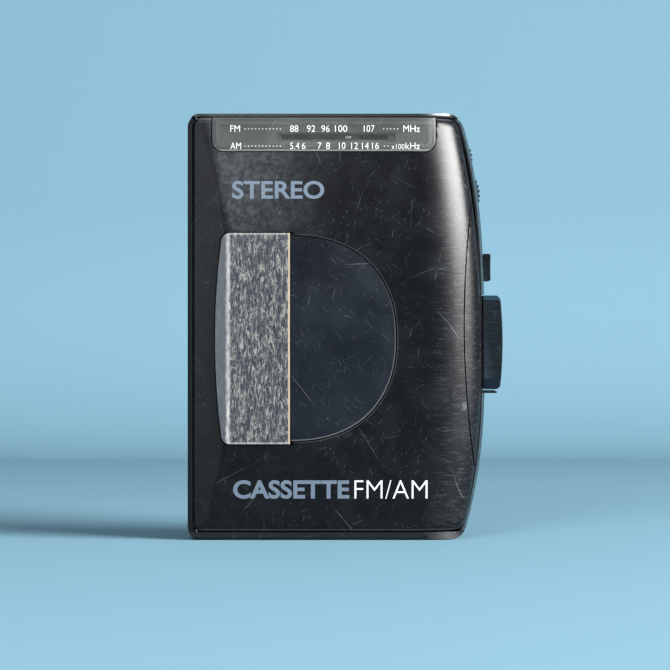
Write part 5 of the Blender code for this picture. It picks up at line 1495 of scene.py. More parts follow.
def word_mesh(text, left, right, bottom, top, weight, surface, lift):
    """A word as thin raised print that lies on a surface, fitted between its sides."""
    curve = bpy.data.curves.new("word", "FONT")
    curve.body = text
    curve.size = 1
    curve.offset = weight
    curve.resolution_u = 6
    curve.extrude = 0.5
    word = linked("word", curve)
    mesh = baked(word)
    bpy.data.objects.remove(word)
    tidy = bmesh.new()
    tidy.from_mesh(mesh)
    bmesh.ops.remove_doubles(tidy, verts=tidy.verts, dist=1e-4)
    flat = [vert.co for vert in tidy.verts]
    low_x, high_x = min(co.x for co in flat), max(co.x for co in flat)
    low_y, high_y = min(co.y for co in flat), max(co.y for co in flat)
    for vert in tidy.verts:
        x = left + (vert.co.x - low_x) / (high_x - low_x) * (right - left)
        z = bottom + (vert.co.y - low_y) / (high_y - low_y) * (top - bottom)
        raised = vert.co.z > 0
        y = surface(x, z) - (lift if raised else -0.02 * MM)
        vert.co = (x, y, z)
    bmesh.ops.recalc_face_normals(tidy, faces=tidy.faces)
    tidy.to_mesh(mesh)
    tidy.free()
    return linked("word", mesh)


def make_lettering(lift):
    """The dial's numbers and dots, and plain words on the lid."""
    words = []
    for text, left, right, bottom, top in DIAL_WORDS:
        words.append(word_mesh(text, left * MM, right * MM, bottom * MM, top * MM, -0.004, lid_front, lift))
    row = row_growth()
    for count, x, z in DIAL_DOTS:
        place = Vector((x * MM, 0, z * MM))
        place.y = lid_front(place.x, place.z)
        dot = turned("dot", "Y", place, [(0.16 * MM, place.y - lift), (0.16 * MM, place.y + 0.02 * MM)], 12)
        end_x = place.x + DOT_PITCH * (count - 1)
        fall = (lid_front(end_x, place.z) - place.y) / (count - 1)
        words.append(row.grow("dots", dot, "white_ink", Count=count, Step=(DOT_PITCH, fall, 0)))
    finished(merged("dial_print", *words), "dial_print", "white_ink", "chassis", "dial")
    for text, left, right, bottom, top, weight, name, ink in FRONT_WORDS:
        word = word_mesh(text, left * MM, right * MM, bottom * MM, top * MM, weight, lid_front, lift)
        finished(word, name, ink, "lid", "dial")


def make_key(node, number, ribs, ribs_high):
    """A crowned key cap on a flat stem, with cross ribs standing on its face."""
    front = KEY_FRONT_Y + number * KEY_PITCH
    back = front + KEY_WIDTH
    base = 0.4 * MM
    outline = [(KEY_INNER_X, KEY_TOP_Z), (KEY_INNER_X, KEY_BOTTOM_Z)]
    for i in range(33):
        z = KEY_BOTTOM_Z + (KEY_TOP_Z - KEY_BOTTOM_Z) * i / 32
        outline.append((key_x(z) - base - corner_inset(min(z - KEY_BOTTOM_Z, KEY_TOP_Z - z), 0.8 * MM), z))
    cap = prism("cap", outline, front, back)
    middle = (KEY_BOTTOM_Z + KEY_TOP_Z) / 2
    stem_front, stem_back = front + 2 * MM, back - 2 * MM
    if number == 0:
        stem_front, stem_back = DECK_FRONT_Y - CLEARANCE - 2 * MM, DECK_FRONT_Y - CLEARANCE
    low = (STEM_INNER_X, stem_front, middle - STEM_HALF_HEIGHT)
    join(cap, box("stem", low, (KEY_INNER_X + 1 * MM, stem_back, middle + STEM_HALF_HEIGHT)))
    soften(cap, 0.25 * MM, 3)
    pitch = (KEY_TOP_Z - KEY_BOTTOM_Z - 4.6 * MM) / ribs
    face = KEY_OUTER_X - base
    section = []
    for k in range(9):
        turn = math.pi * k / 8
        section.append(
            (face - 0.15 * MM + (ribs_high + 0.15 * MM) * math.sin(turn), pitch * 0.36 * math.cos(turn))
        )
    rib = prism("rib", section, front + 0.35 * MM, back - 0.35 * MM)
    start = KEY_BOTTOM_Z + 3.2 * MM
    reach = (KEY_TOP_Z - KEY_BOTTOM_Z) / 2
    values = {
        "Count": ribs, "Start": start, "Pitch": pitch, "Crown": KEY_CROWN, "Middle": middle, "Reach": reach
    }
    ribs_mesh = crowned_growth().grow("ribs", rib, "keys", **values)
    return finished(merged(node, cap, ribs_mesh), node + "_cap", "keys", body_of(node), "controls", node)


def make_controls(tuning_teeth, volume_teeth):
    """The band selector's knob and the two knurled thumbwheels."""
    middle = (SELECTOR_BOTTOM_Z + SELECTOR_TOP_Z) / 2
    inner = BODY_HALF_WIDTH + CLEARANCE / 2
    outline = [(inner, SELECTOR_TOP_Z), (inner, SELECTOR_BOTTOM_Z)]
    for i in range(41):
        z = SELECTOR_BOTTOM_Z + (SELECTOR_TOP_Z - SELECTOR_BOTTOM_Z) * i / 40
        wave = 1 + math.cos(TAU * (z - middle) / (0.8 * MM))
        dip = 0.05 * MM * wave if abs(z - middle) < 2.4 * MM else 0
        rounding = corner_inset(min(z - SELECTOR_BOTTOM_Z, SELECTOR_TOP_Z - z), 0.6 * MM)
        outline.append((SELECTOR_OUTER_X - dip - rounding, z))
    knob = prism("selector", outline, SELECTOR_Y - 3 * MM, SELECTOR_Y + 3 * MM)
    low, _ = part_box("selector_knob")
    stem_low = (low.x, SELECTOR_Y - 1.2 * MM, middle - 1.5 * MM)
    join(knob, box("stem", stem_low, (inner + 1 * MM, SELECTOR_Y + 1.2 * MM, middle + 1.5 * MM)))
    soften(knob, 0.2 * MM, 3, 50)
    finished(knob, "selector_slider", "keys", "selector", "controls", "selector_knob")
    for node, wheel, teeth in (
        ("tuning_wheel", TUNING_WHEEL, tuning_teeth), ("volume_wheel", VOLUME_WHEEL, volume_teeth)
    ):
        radius, x, z, front, back = wheel
        bore = 1.8 * MM
        rim = radius - 0.45 * MM
        lip = 0.3 * MM
        profile = around(bore, front, (0, 0), (2, 0), (2.4, 0.5))
        profile += around(rim, front, (-2, 0.5), (-1.6, 0), (-0.3, 0), (0, 0.3))
        profile += around(rim, back, (0, -0.3), (-0.3, 0), (-1.6, 0), (-2, -0.5))
        profile += around(bore, back, (2.4, -0.5), (2, 0), (0, 0))
        disc = turned("disc", "Y", (x, 0, z), profile, 96, ring=True)
        soften(disc, 0)
        pitch = TAU * radius / teeth
        flank = ((rim - 0.2 * MM, 0.36), (rim + 0.1 * MM, 0.34), (radius - 0.08 * MM, 0.2))
        section = [(x_place, -pitch * share) for x_place, share in flank] + [(radius, 0)]
        section += [(x_place, pitch * share) for x_place, share in reversed(flank)]
        tooth = prism("tooth", section, front + lip, back - lip)
        knurl = ring_growth().grow("knurl", tooth, "keys", Count=teeth, Centre=(x, 0, z))
        finished(merged(node, disc, knurl), node + "_knurled", "keys", body_of(node), "controls", node)


def make_springs():
    """Coil springs behind the keys and in the battery bay, swept in round wire."""
    wire = sweep_growth()
    start = GUIDE_X + GUIDE_THICKNESS + CLEARANCE
    end = KEY_INNER_X - CLEARANCE
    for number, node in enumerate(("play_key_spring", "forward_key_spring", "stop_key_spring")):
        y = KEY_FRONT_Y + number * KEY_PITCH + KEY_WIDTH / 2
        centre = (0, y, KEY_BOTTOM_Z + 4 * MM)
        radius = 0.2 * MM
        path = wire_path("path", helix("X", centre, 1.6 * MM, start + radius, end - radius, 4))
        coil = wire.grow(node, path, "bright", Radius=radius, Sides=8)
        finished(coil, node + "_coil", "bright", "chassis", "steel", node)
        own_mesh(coil)
    for node in ("battery_spring_link", "battery_spring_minus"):
        low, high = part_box(node)
        middle = (low + high) / 2
        radius = 0.35 * MM
        path = wire_path(
            "path", helix("X", middle, (high.z - low.z) / 2 - radius, low.x + radius, high.x - radius, 3)
        )
        finished(
            wire.grow(node, path, "bright", Radius=radius, Sides=10), node + "_coil", "bright", "chassis",
            "steel", node,
        )


def make_screws():
    """Four cross-slotted screws in the back, all copies of one turned screw."""
    head_front = BACK_Y - SCREW_HEAD_DEPTH - 0.1 * MM
    back = BACK_Y - 0.1 * MM
    start = head_front - SCREW_LENGTH
    profile = [(0.25 * MM, start), (SCREW_RADIUS - 0.1 * MM, start + 0.7 * MM)]
    for i in range(12):
        profile += around(SCREW_RADIUS, start + 0.9 * MM + i * 0.45 * MM, (-0.18, 0), (0, 0.16))
    profile += around(SCREW_RADIUS, head_front, (-0.15, -0.2), (0, 0))
    profile.append((SCREW_HEAD_RADIUS, head_front + 0.3 * MM))
    profile += around(SCREW_HEAD_RADIUS, back, (0, -0.35), (-0.15, -0.12), (-0.5, 0))
    screw = turned("screw", "Y", (0, 0, 0), profile, 32)
    slot = 0.3 * MM
    reach = 1.2 * MM
    deep = back - 0.7 * MM
    cut(screw, box("flat", (-reach, deep, -slot), (reach, back + 1 * MM, slot)))
    cut(screw, box("upright", (-slot, deep, -reach), (slot, back + 1 * MM, reach)))
    soften(screw, 0)
    places = wire_path("screw_places", [(x, 0, z) for x, z in SCREW_PLACES])
    screws = scatter_growth().grow("screws", screw, "bright", Places=places)
    bpy.data.objects.remove(places)
    nodes = [f"housing_screw_{i + 1}" for i in range(len(SCREW_PLACES))]
    finished(screws, "housing_screws", "bright", "chassis", "steel", *nodes)


def make_cover():
    """The battery cover with its hinge barrel, pins and a grip of raised bars."""
    left = BAY_LEFT_X - COVER_MARGIN
    right = BAY_RIGHT_X + COVER_MARGIN
    front = BACK_Y - COVER_THICKNESS
    outer = BACK_Y - 0.25 * MM
    origin = (0, COVER_HINGE_Y, COVER_HINGE_Z)
    cover = box("cover", (left, front, BAY_BOTTOM_Z + CLEARANCE), (right, outer, COVER_HINGE_Z))
    join(cover, rod("barrel", "X", origin, COVER_HINGE_RADIUS, left + 0.01 * MM, right - 0.01 * MM, 64))
    join(cover, rod("pins", "X", origin, COVER_PIN_RADIUS, left - 1 * MM, right + 1 * MM, 32))
    soften(cover, 0.2 * MM, 3)
    section = []
    for k in range(9):
        turn = math.pi * k / 8
        section.append((outer - 0.1 * MM + 0.3 * MM * math.sin(turn), 0.42 * MM * math.cos(turn)))
    middle = (left + right) / 2
    rings = []
    for x, inset in (
        (middle - 8 * MM, 0.6), (middle - 7.6 * MM, 1), (middle + 7.6 * MM, 1), (middle + 8 * MM, 0.6)
    ):
        foot = outer - 0.1 * MM
        rings.append(
            [(x, foot + (y - foot) * inset, BAY_BOTTOM_Z + 3 * MM + z * inset) for y, z in section]
        )
    bars = row_growth().grow("bars", stack("bar", rings), "back", Count=5, Step=(0, 0, 1.5 * MM))
    finished(merged("cover", cover, bars), "battery_door", "back", "cover", "housing", "battery_cover")
    for node in ("battery_link", "battery_plus", "battery_minus"):
        refined(node, node + "_plate", "steel", "steel", 0.1 * MM)


def spindle_profile(tip):
    """The reel table, the neck above the deck and the spindle's rounded tip."""
    base = DECK_FRONT_Y - 0.6 * MM
    profile = around(0, DRIVE_BACK_Y, (7.7, 0), (8, -0.2))
    profile += around(0, DRIVE_FRONT_Y, (8, 0.2), (7.7, 0), (3, 0))
    profile += around(0, base, (3, 0.1), (2.9, 0), (2.4, -0.3))
    return profile + around(0, tip, (2.4, 1), (2.2, 0.6), (1.7, 0.2), (1.2, 0))


def make_reels():
    """The two reel tables with three-finned spindles."""
    for node, z in zip(("takeup_spindle", "supply_spindle"), HUB_HEIGHTS):
        spindle = turned("spindle", "Y", (HUB_X, 0, z), spindle_profile(HUB_TIP_Y), 64)
        soften(spindle, 0)
        fin_front = HUB_TIP_Y + 1.2 * MM
        fin_back = DECK_FRONT_Y - 1.5 * MM
        rings = []
        half = 0.42 * MM
        flat = 0.2 * MM
        inner = 1 * MM
        levels = (
            (fin_front, 3.0), (fin_front + 0.6 * MM, 3.5), (fin_front + 1.2 * MM, 3.6), (fin_back, 3.6)
        )
        for y, reach_mm in levels:
            reach = reach_mm * MM
            shoulder = reach - 0.1 * MM
            outline = [
                (-half, inner), (half, inner), (half, shoulder), (flat, reach), (-flat, reach),
                (-half, shoulder),
            ]
            rings.append([(x, y, place) for x, place in outline])
        fins = ring_growth().grow("fins", stack("fin", rings), "white", Count=3, Centre=(HUB_X, 0, z))
        finished(
            merged(node, spindle, fins), node + "_turned", "white", body_of(node), "white_plastic", node
        )


def grooved(radius, front, back, bore, groove=0.25 * MM):
    """Ring profile of a wheel with a shallow groove round its rim and a recessed web."""
    web = min(0.3 * MM, (back - front) * 0.2)
    soft = 0.15 * MM
    return [
        (bore, front), (bore + 1.2 * MM, front), (bore + 1.4 * MM, front + web),
        (radius - 1.4 * MM, front + web),
        (radius - 1.2 * MM, front), (radius - soft, front), (radius, front + soft),
        (radius - groove, (front + back) / 2),
        (radius, back - soft), (radius - soft, back), (bore, back),
    ]


def make_drive():
    """Flywheel, capstan, bush, idler, pulley, motor, belt, head, arm and pinch roller."""
    place = (CAPSTAN_X, 0, CAPSTAN_Z)
    front, back = DRIVE_FRONT_Y, DRIVE_BACK_Y
    profile = grooved(FLYWHEEL_RADIUS, front, back, 1.3 * MM, 0.1 * MM)
    lathed("flywheel", "turned", "brass", "brass", "Y", place, profile, 96, ring=True)
    tip = -12.5 * MM
    profile = [(0.6 * MM, tip), (0.95 * MM, tip + 0.3 * MM), (1 * MM, tip + 0.6 * MM), (1 * MM, back)]
    lathed("capstan", "ground", "bright", "steel", "Y", place, profile, 40)
    low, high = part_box("capstan_bush")
    profile = around(0, low.y, (1.3, 0.3), (1.6, 0), (2.3, 0), (2.6, 0.3))
    profile += around(0, high.y, (2.6, 0), (1.3, 0))
    lathed("capstan_bush", "turned", "brass", "brass", "Y", place, profile, 48, ring=True)
    low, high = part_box("idler_wheel")
    middle = (low + high) / 2
    radius = (high.x - low.x) / 2
    profile = around(radius, low.y, (-1.6, 0), (-0.12, 0), (0, 0.12))
    profile += around(radius, high.y, (0, -0.12), (-0.12, 0), (-1.6, 0))
    idler = soften(turned("idler", "Y", middle, profile), 0)
    finished(idler, "idler_tyre", "rubber", "idler", "rubber", "idler_wheel")
    place = (MOTOR_X, 0, MOTOR_Z)
    low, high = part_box("motor_pulley")
    profile = around(PULLEY_RADIUS, DRIVE_FRONT_Y, (-0.15, 0), (0, 0.12), (-0.1, 0.3))
    profile += around(PULLEY_RADIUS, DRIVE_BACK_Y, (-0.1, -0.5), (0, -0.2), (-0.1, 0))
    profile += [(0.7 * MM, DRIVE_BACK_Y), (0.7 * MM, high.y)]
    lathed("motor_pulley", "turned", "brass", "brass", "Y", place, profile, 48)
    rear = MOTOR_FRONT_Y + MOTOR_LENGTH
    profile = around(MOTOR_RADIUS, MOTOR_FRONT_Y, (-1.2, 0), (-0.35, 0.25), (0, 0.9))
    profile += around(
        MOTOR_RADIUS, rear, (0, -2.2), (-0.15, -2.1), (-0.15, -1.8), (0, -1.7), (0, -0.3), (-0.3, 0)
    )
    motor = turned("motor", "Y", place, profile, 80)
    cut(motor, rod("bore", "Y", place, 1 * MM, MOTOR_FRONT_Y - 1 * MM, MOTOR_FRONT_Y + 3 * MM))
    finished(soften(motor, 0), "motor_can", "steel", "chassis", "steel", "motor")
    make_belt()
    make_head()


def make_belt():
    """A flat belt round the pulley and the flywheel, along their outer tangents."""
    small = Vector((MOTOR_X, MOTOR_Z))
    large = Vector((CAPSTAN_X, CAPSTAN_Z))
    apart = large - small
    facing = math.atan2(apart.y, apart.x)
    spread = math.acos((PULLEY_RADIUS - FLYWHEEL_RADIUS) / apart.length)
    low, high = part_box("drive_belt")
    loops = []
    for stand_off in (CLEARANCE, CLEARANCE + 0.8 * MM):
        loop = []
        for i in range(25):
            turn = facing + spread + (TAU - 2 * spread) * i / 24
            reach = PULLEY_RADIUS + stand_off
            loop.append((small.x + reach * math.cos(turn), small.y + reach * math.sin(turn)))
        for i in range(57):
            turn = facing - spread + 2 * spread * i / 56
            reach = FLYWHEEL_RADIUS + stand_off
            loop.append((large.x + reach * math.cos(turn), large.y + reach * math.sin(turn)))
        loops.append(loop)
    inner, outer = loops
    soft = 0.08 * MM
    rings = []
    for loop, y in ((inner, low.y + soft), (outer, low.y), (outer, high.y), (inner, high.y - soft)):
        rings.append([(x, y, z) for x, z in loop])
    belt = stack("belt", rings, closed=True)
    finished(soften(belt, 0.05 * MM), "drive_belt_loop", "rubber", "chassis", "rubber", "drive_belt")


def make_head():
    """The tape head in its polished can, the sliding plate, the arm and the rubber roller."""
    low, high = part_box("tape_head")
    middle = (low.z + high.z) / 2
    half = (high.z - low.z) / 2
    outline = [(high.x, low.z), (high.x, high.z)]
    for i in range(25):
        share = 1 - i / 12
        outline.append((low.x + 2 * MM * share**2, middle + half * share))
    head = prism("head", outline, low.y, high.y)
    gap = 0.12 * MM
    for offset in (-0.9 * MM, 0.9 * MM):
        y = (low.y + high.y) / 2 + offset
        start = (low.x - 1 * MM, y - 0.5 * MM, middle - gap)
        cut(head, box("gap", start, (low.x + 0.15 * MM, y + 0.5 * MM, middle + gap)))
    for share in (0.25, 0.75):
        y = low.y + (high.y - low.y) * share
        start = (low.x - 1 * MM, y - 0.12 * MM, low.z - 1 * MM)
        cut(head, box("guide", start, (low.x + 2.4 * MM, y + 0.12 * MM, low.z + 1.6 * MM)))
    finished(soften(head, 0.15 * MM, 3), "tape_head_can", "bright", "head", "steel", "tape_head")
    refined("head_plate", "head_slide_plate", "steel", "steel", 0.1 * MM)
    refined("pinch_arm", "pinch_arm_lever", "steel", "steel", 0.1 * MM)
    low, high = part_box("pinch_roller")
    place = (low + high) / 2
    radius = (high.x - low.x) / 2
    bore = 1.1 * MM
    profile = around(bore, low.y, (0, 0), (0.5, 0), (0.7, 0.2))
    profile += around(radius, low.y, (-0.4, 0.2), (0, 0.5))
    profile += around(radius, high.y, (0, -0.5), (-0.4, -0.2)) + [(bore, high.y - 0.2 * MM)]
    lathed("pinch_roller", "tyre", "rubber", "rubber", "Y", place, profile, ring=True)


def make_deck():
    """The deck plate and the keys' guide, with softened edges."""
    refined("deck_plate", "deck_plate_pressed", "steel", "steel", 0.12 * MM)
    refined("key_guide", "key_guide_plate", "steel", "steel", 0.1 * MM)


# Places of the board's round parts as (x, z), in millimetres
CAN_PLACES = (
    (-26, 79), (-19, 84), (-12, 77), (-4, 82), (3, 88), (10, 79), (16, 90), (-14, 92), (-24, 90), (22, 76)
)


def make_radio():
    """The circuit board with its parts, the ferrite rod with its winding, and the sockets."""
    refined("circuit_board", "circuit_board_plate", "board", "board", 0.08 * MM)
    seat = BOARD_FRONT_Y + BOARD_THICKNESS
    parts = []
    for i, (x, z) in enumerate(CAN_PLACES):
        radius = (1.6 + 0.4 * (i % 3)) * MM
        tall = (3.2 + 1.1 * (i % 4)) * MM
        top = seat + tall
        profile = around(radius, seat, (-0.2, 0.05), (0, 0.4), (-0.25, 0.8), (0, 1.2))
        profile += around(radius, top, (0, -0.3), (-0.3, 0))
        can = turned("can", "Y", (x * MM, 0, z * MM), profile, 24)
        parts.append(soften(can, 0))
    finished(merged("board_cans", *parts), "board_capacitors", "bright", "chassis", "steel")
    chips = []
    for x, z, count in ((-30, 97, 8), (6, 95, 10)):
        chip_low = (x * MM, seat + 0.15 * MM, (z - 3) * MM)
        chip = box("chip", chip_low, ((x + count * 1.2 + 0.6) * MM, seat + 1.6 * MM, (z + 3) * MM))
        chips.append(soften(chip, 0.2 * MM))
    finished(merged("chips", *chips), "board_chips", "inner", "chassis", "board")
    refined("tuning_capacitor", "tuning_capacitor_block", "white", "white_plastic", 0.2 * MM)
    refined("volume_control", "volume_control_can", "steel", "steel", 0.12 * MM)
    refined("band_switch", "band_switch_can", "steel", "steel", 0.12 * MM)
    low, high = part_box("ferrite_rod")
    middle = (low + high) / 2
    radius = (high.z - low.z) / 2
    profile = around(radius, low.x, (-0.3, 0), (0, 0.3)) + around(radius, high.x, (0, -0.3), (-0.3, 0))
    lathed("ferrite_rod", "ground", "ferrite", "ferrite", "X", middle, profile, 40)
    low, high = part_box("antenna_coil")
    middle = (low + high) / 2
    wire = 0.16 * MM
    turns = 44
    radius = (high.z - low.z) / 2
    path = wire_path("winding", helix("X", middle, radius - wire, low.x + wire, high.x - wire, turns, 16))
    winding = sweep_growth().grow("winding", path, "copper", Radius=wire, Sides=5)
    former = washer("former", "X", middle, 2.75 * MM, radius - 1.6 * wire, low.x, high.x, 40)
    finished(
        merged("coil", winding, soften(former, 0)), "antenna_winding", "copper", "chassis", "brass",
        "antenna_coil",
    )
    make_jacks(seat)


def make_jacks(seat):
    """The headphone and power sockets in the left-hand side."""
    inside = -BODY_HALF_WIDTH + WALL
    for node, (z, radius, bore) in JACKS.items():
        high = (inside + 11 * MM, JACK_Y + radius + 1 * MM, z + radius + 1 * MM)
        jack = box("jack", (inside + CLEARANCE, seat + CLEARANCE, z - radius - 1 * MM), high)
        start = inside - WALL + 0.2 * MM
        place = (0, JACK_Y, z)
        join(jack, rod("collar", "X", place, radius, start, inside + 2 * MM, 64))
        profile = [(bore + 0.4 * MM, start - 0.1 * MM), (bore, start + 0.35 * MM), (bore, inside + 9 * MM)]
        cut(jack, turned("bore", "X", place, profile, 48))
        finished(soften(jack, 0.12 * MM), node + "_socket", "inner", "chassis", "inner_plastic", node)
        low_x = start + 1.2 * MM
        liner = washer("liner", "X", place, bore - 0.25 * MM, bore - 0.03 * MM, low_x, low_x + 2.5 * MM, 40)
        finished(soften(liner, 0), node + "_liner", "bright", "chassis", "steel")
        if node == "power_jack":
            tip = [(0.15 * MM, low_x), (0.45 * MM, low_x + 0.4 * MM), (0.45 * MM, inside + 8.8 * MM)]
            finished(
                soften(turned("pin", "X", place, tip, 24), 0), "power_jack_pin", "bright", "chassis",
                "steel",
            )


class PlayerSizes(bpy.types.PropertyGroup):
    """Sizes that a user would change."""

    key_ribs: IntProperty(
        name="Key Ribs", description="Cross ribs on each key cap", default=40, min=3, max=60
    )
    rib_height: FloatProperty(
        name="Rib Height", description="How far the key ribs stand up", default=0.12 * MM, unit="LENGTH"
    )
    tuning_teeth: IntProperty(
        name="Tuning Teeth", description="Knurls round the tuning wheel", default=48, min=12, max=96
    )
    volume_teeth: IntProperty(
        name="Volume Teeth", description="Knurls round the volume wheel", default=36, min=12, max=96
    )
    print_lift: FloatProperty(
        name="Print Lift", description="Thickness of the printed ink", default=0.03 * MM, unit="LENGTH"
    )


class PlayerColours(bpy.types.PropertyGroup):
    """Colours and wear that a user would change."""

    black: FloatVectorProperty(
        name="Body", description="Colour of the body plastic", default=(0.0024, 0.0028, 0.0038),
        subtype="COLOR",
    )
    keys: FloatVectorProperty(
        name="Keys", description="Colour of the keys and wheels", default=(0.0026, 0.0045, 0.0068),
        subtype="COLOR",
    )
    print_white: FloatVectorProperty(
        name="White Print", description="Colour of the dial print", default=(0.38, 0.388, 0.384),
        subtype="COLOR",
    )
    print_blue: FloatVectorProperty(
        name="Blue Print", description="Colour of the large words", default=(0.073, 0.095, 0.125),
        subtype="COLOR",
    )
    floor: FloatVectorProperty(
        name="Floor", description="Colour of the floor and backdrop", default=(0.131, 0.224, 0.278),
        subtype="COLOR",
    )
    # Wear also sets how strong the painted edge highlights and painted sheen of the body plastic are.
    wear: FloatProperty(
        name="Wear", description="How worn the plastic is", default=1.0, min=0, max=2, subtype="FACTOR"
    )


class PlayerStage(bpy.types.PropertyGroup):
    """Camera and light."""

    distance: FloatProperty(
        name="Distance", description="Camera to the player's front", default=0.9, unit="LENGTH"
    )
    field: FloatProperty(
        name="Field", description="Width seen at the player's front", default=185.9 * MM, unit="LENGTH"
    )
    eye_height: FloatProperty(
        name="Eye Height", description="Camera above the floor", default=57.1 * MM, unit="LENGTH"
    )
    light: FloatProperty(
        name="Light", description="Strength of the lights", default=1.0, min=0, max=5, subtype="FACTOR"
    )


def area_light(name, place, target, size, power, colour, spread):
    """A rectangular soft light aimed at a point."""
    data = bpy.data.lights.new(name, "AREA")
    data.shape = "RECTANGLE"
    data.size, data.size_y = size
    data.energy = power
    data.spread = math.radians(spread)
    data.color = colour
    lamp = linked(name, data)
    lamp.location = place
    lamp.rotation_euler = (Vector(target) - Vector(place)).to_track_quat("-Z", "Y").to_euler()


# The floor and the wall that it curves up into, in metres
FLOOR_HALF_WIDTH = 4.0
FLOOR_FRONT_Y = -4.0
CURVE_START_Y = 0.55
CURVE_RADIUS = 0.12
WALL_TOP_Z = 2.4

# Lights as (name, place, target, size, watts, colour, spread in degrees)
PLAYER_MIDDLE = (0, 0, 60 * MM)
WHITE_LIGHT = (1, 1, 1)
LIGHTS = (
    ("key_light", (1.44, -0.80, 0.60), PLAYER_MIDDLE, (1.28, 0.67), 38, (1.0, 0.99, 0.97), 80),
    ("left_light", (-0.32, -1.0, 0.56), PLAYER_MIDDLE, (0.35, 0.35), 8.8, (0.95, 0.98, 1.0), 180),
    ("facet_light", (-0.62, -0.95, 0.10), PLAYER_MIDDLE, (0.35, 0.5), 2.6, (0.92, 0.97, 1.0), 180),
    ("fill_light", (-0.1, -0.55, 0.95), PLAYER_MIDDLE, (0.5, 0.5), 1.6, WHITE_LIGHT, 180),
    ("top_light", (0, 0.25, 1.3), (0, 0.25, 0), (1.8, 0.8), 0.6, WHITE_LIGHT, 180),
    ("backdrop_light", (0, -0.15, 1.5), (0, 0.67, 0.25), (1.8, 0.4), 6.5, WHITE_LIGHT, 180),
)


def make_stage(stage, colours):
    """A pale floor that curves up into a backdrop, soft lights and the camera."""
    profile = [(FLOOR_FRONT_Y, 0.0), (CURVE_START_Y, 0.0)]
    for turn in quarter(12)[1:]:
        profile.append((CURVE_START_Y + CURVE_RADIUS * math.sin(turn), CURVE_RADIUS * (1 - math.cos(turn))))
    profile.append((CURVE_START_Y + CURVE_RADIUS, WALL_TOP_Z))
    points = [(x, y, z) for x in (-FLOOR_HALF_WIDTH, FLOOR_HALF_WIDTH) for y, z in profile]
    count = len(profile)
    faces = [(i, count + i, count + i + 1, i + 1) for i in range(count - 1)]
    mesh = bpy.data.meshes.new("studio_floor")
    mesh.from_pydata(points, [], faces)
    mesh.shade_smooth()
    mesh.materials.append(floor_finish("pale_paper", tuple(colours.floor)))
    linked("studio_floor", mesh)
    for name, place, target, size, watts, colour, spread in LIGHTS:
        area_light(name, place, target, size, watts * stage.light, colour, spread)
    world = bpy.data.worlds.new("studio")
    world.use_nodes = True
    background = world.node_tree.nodes["Background"]
    background.inputs["Color"].default_value = (0.62, 0.80, 0.92, 1)
    background.inputs["Strength"].default_value = 0.03 * stage.light
    bpy.context.scene.world = world
    view = bpy.context.scene.view_settings
    view.view_transform = "Standard"
    view.gamma = 0.88
    camera = bpy.data.cameras.new("camera")
    camera.sensor_width = 36
    camera.lens = camera.sensor_width * stage.distance / stage.field
    camera.clip_start = 0.01
    camera.clip_end = 20
    eye = linked("camera", camera)
    eye.location = (-0.4 * MM, FRONT_Y - stage.distance, stage.eye_height)
    eye.rotation_euler = (math.pi / 2, 0, 0)
    bpy.context.scene.camera = eye


class PieceOperator:
    """What the operators share: they build from the scene's settings."""

    bl_options = {"REGISTER", "UNDO"}

    def execute(self, context):
        self.build(context.scene)
        return {"FINISHED"}


class PLAYER_OT_finishes(PieceOperator, bpy.types.Operator):
    """Make the materials"""

    bl_idname = "player.finishes"
    bl_label = "Finishes"

    def build(self, scene):
        build_finishes(scene.player_colours)


class PLAYER_OT_housing(PieceOperator, bpy.types.Operator):
    """Build the rear housing"""

    bl_idname = "player.housing"
    bl_label = "Rear Housing"

    def build(self, scene):
        make_housing()


class PLAYER_OT_lid(PieceOperator, bpy.types.Operator):
    """Build the hinged lid, its pins and its leaf springs"""

    bl_idname = "player.lid"
    bl_label = "Lid"

    def build(self, scene):
        make_lid()


class PLAYER_OT_side_panel(PieceOperator, bpy.types.Operator):
    """Build the panel beside the keys"""

    bl_idname = "player.side_panel"
    bl_label = "Side Panel"

    def build(self, scene):
        make_key_panel()


class PLAYER_OT_window(PieceOperator, bpy.types.Operator):
    """Build the smoked pane and its clear band"""

    bl_idname = "player.window"
    bl_label = "Window"

    def build(self, scene):
        make_window()


class PLAYER_OT_dial(PieceOperator, bpy.types.Operator):
    """Build the dial and its pointer"""

    bl_idname = "player.dial"
    bl_label = "Dial"

    def build(self, scene):
        make_dial()


class PLAYER_OT_lettering(PieceOperator, bpy.types.Operator):
    """Print the dial's numbers and the plain words"""

    bl_idname = "player.lettering"
    bl_label = "Lettering"

    def build(self, scene):
        make_lettering(scene.player_sizes.print_lift)


class PLAYER_OT_keys(PieceOperator, bpy.types.Operator):
    """Build the three keys"""

    bl_idname = "player.keys"
    bl_label = "Keys"

    def build(self, scene):
        sizes = scene.player_sizes
        for number, node in enumerate(("play_key", "forward_key", "stop_key")):
            make_key(node, number, sizes.key_ribs, sizes.rib_height)


class PLAYER_OT_controls(PieceOperator, bpy.types.Operator):
    """Build the selector and the thumbwheels"""

    bl_idname = "player.controls"
    bl_label = "Selector and Wheels"

    def build(self, scene):
        make_controls(scene.player_sizes.tuning_teeth, scene.player_sizes.volume_teeth)


class PLAYER_OT_springs(PieceOperator, bpy.types.Operator):
    """Wind the coil springs"""

    bl_idname = "player.springs"
    bl_label = "Springs"

    def build(self, scene):
        make_springs()


class PLAYER_OT_screws(PieceOperator, bpy.types.Operator):
    """Turn the housing screws"""

    bl_idname = "player.screws"
    bl_label = "Screws"

    def build(self, scene):
        make_screws()


class PLAYER_OT_battery(PieceOperator, bpy.types.Operator):
    """Build the battery cover and the contacts"""

    bl_idname = "player.battery"
    bl_label = "Battery Cover"

    def build(self, scene):
        make_cover()


class PLAYER_OT_deck(PieceOperator, bpy.types.Operator):
    """Finish the deck plate, the reels and the tape drive"""

    bl_idname = "player.deck"
    bl_label = "Deck and Drive"

    def build(self, scene):
        make_deck()
        make_reels()
        make_drive()


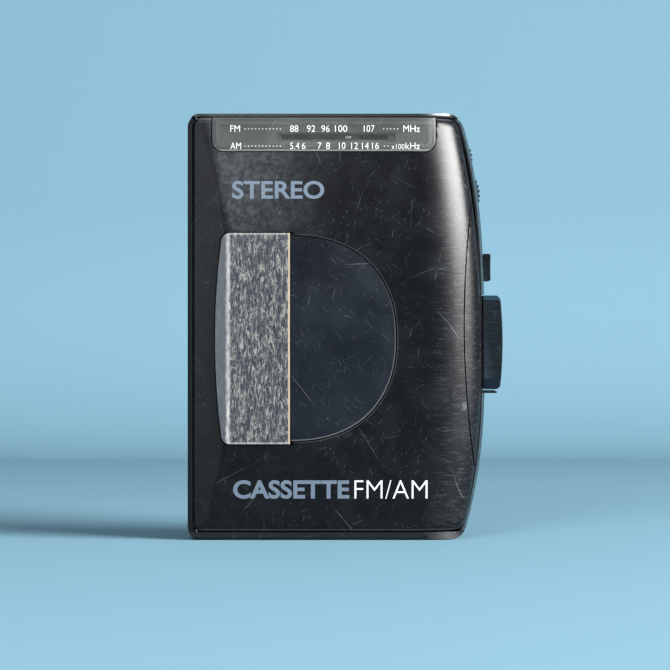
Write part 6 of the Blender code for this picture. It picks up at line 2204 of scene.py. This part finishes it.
class PLAYER_OT_radio(PieceOperator, bpy.types.Operator):
    """Build the radio board and the sockets"""

    bl_idname = "player.radio"
    bl_label = "Radio"

    def build(self, scene):
        make_radio()


class PLAYER_OT_stage(PieceOperator, bpy.types.Operator):
    """Set up the floor, the lights and the camera"""

    bl_idname = "player.stage"
    bl_label = "Stage"

    def build(self, scene):
        make_stage(scene.player_stage, scene.player_colours)


OPERATORS = (
    PLAYER_OT_finishes,
    PLAYER_OT_housing,
    PLAYER_OT_lid,
    PLAYER_OT_side_panel,
    PLAYER_OT_window,
    PLAYER_OT_dial,
    PLAYER_OT_lettering,
    PLAYER_OT_keys,
    PLAYER_OT_controls,
    PLAYER_OT_springs,
    PLAYER_OT_screws,
    PLAYER_OT_battery,
    PLAYER_OT_deck,
    PLAYER_OT_radio,
    PLAYER_OT_stage,
)


class PLAYER_PT_panel(bpy.types.Panel):
    """The player's settings and steps"""

    bl_label = "Radio Cassette Player"
    bl_idname = "PLAYER_PT_panel"
    bl_space_type = "VIEW_3D"
    bl_region_type = "UI"
    bl_category = "Player"

    def draw(self, context):
        layout = self.layout
        scene = context.scene
        for group in (scene.player_sizes, scene.player_colours, scene.player_stage):
            column = layout.column(align=True)
            for label in type(group).__annotations__:
                column.prop(group, label)
        column = layout.column(align=True)
        for operator in OPERATORS:
            column.operator(operator.bl_idname)


GROUPS = {"player_sizes": PlayerSizes, "player_colours": PlayerColours, "player_stage": PlayerStage}
CLASSES = (*GROUPS.values(), *OPERATORS, PLAYER_PT_panel)


def register():
    for item in CLASSES:
        bpy.utils.register_class(item)
    for label, group in GROUPS.items():
        setattr(bpy.types.Scene, label, PointerProperty(type=group))


def unregister():
    for label in GROUPS:
        delattr(bpy.types.Scene, label)
    for item in reversed(CLASSES):
        bpy.utils.unregister_class(item)


def main():
    register()
    for operator in OPERATORS:
        family, step = operator.bl_idname.split(".")
        getattr(getattr(bpy.ops, family), step)()
    bpy.context.view_layer.update()


if __name__ == "__main__":
    main()
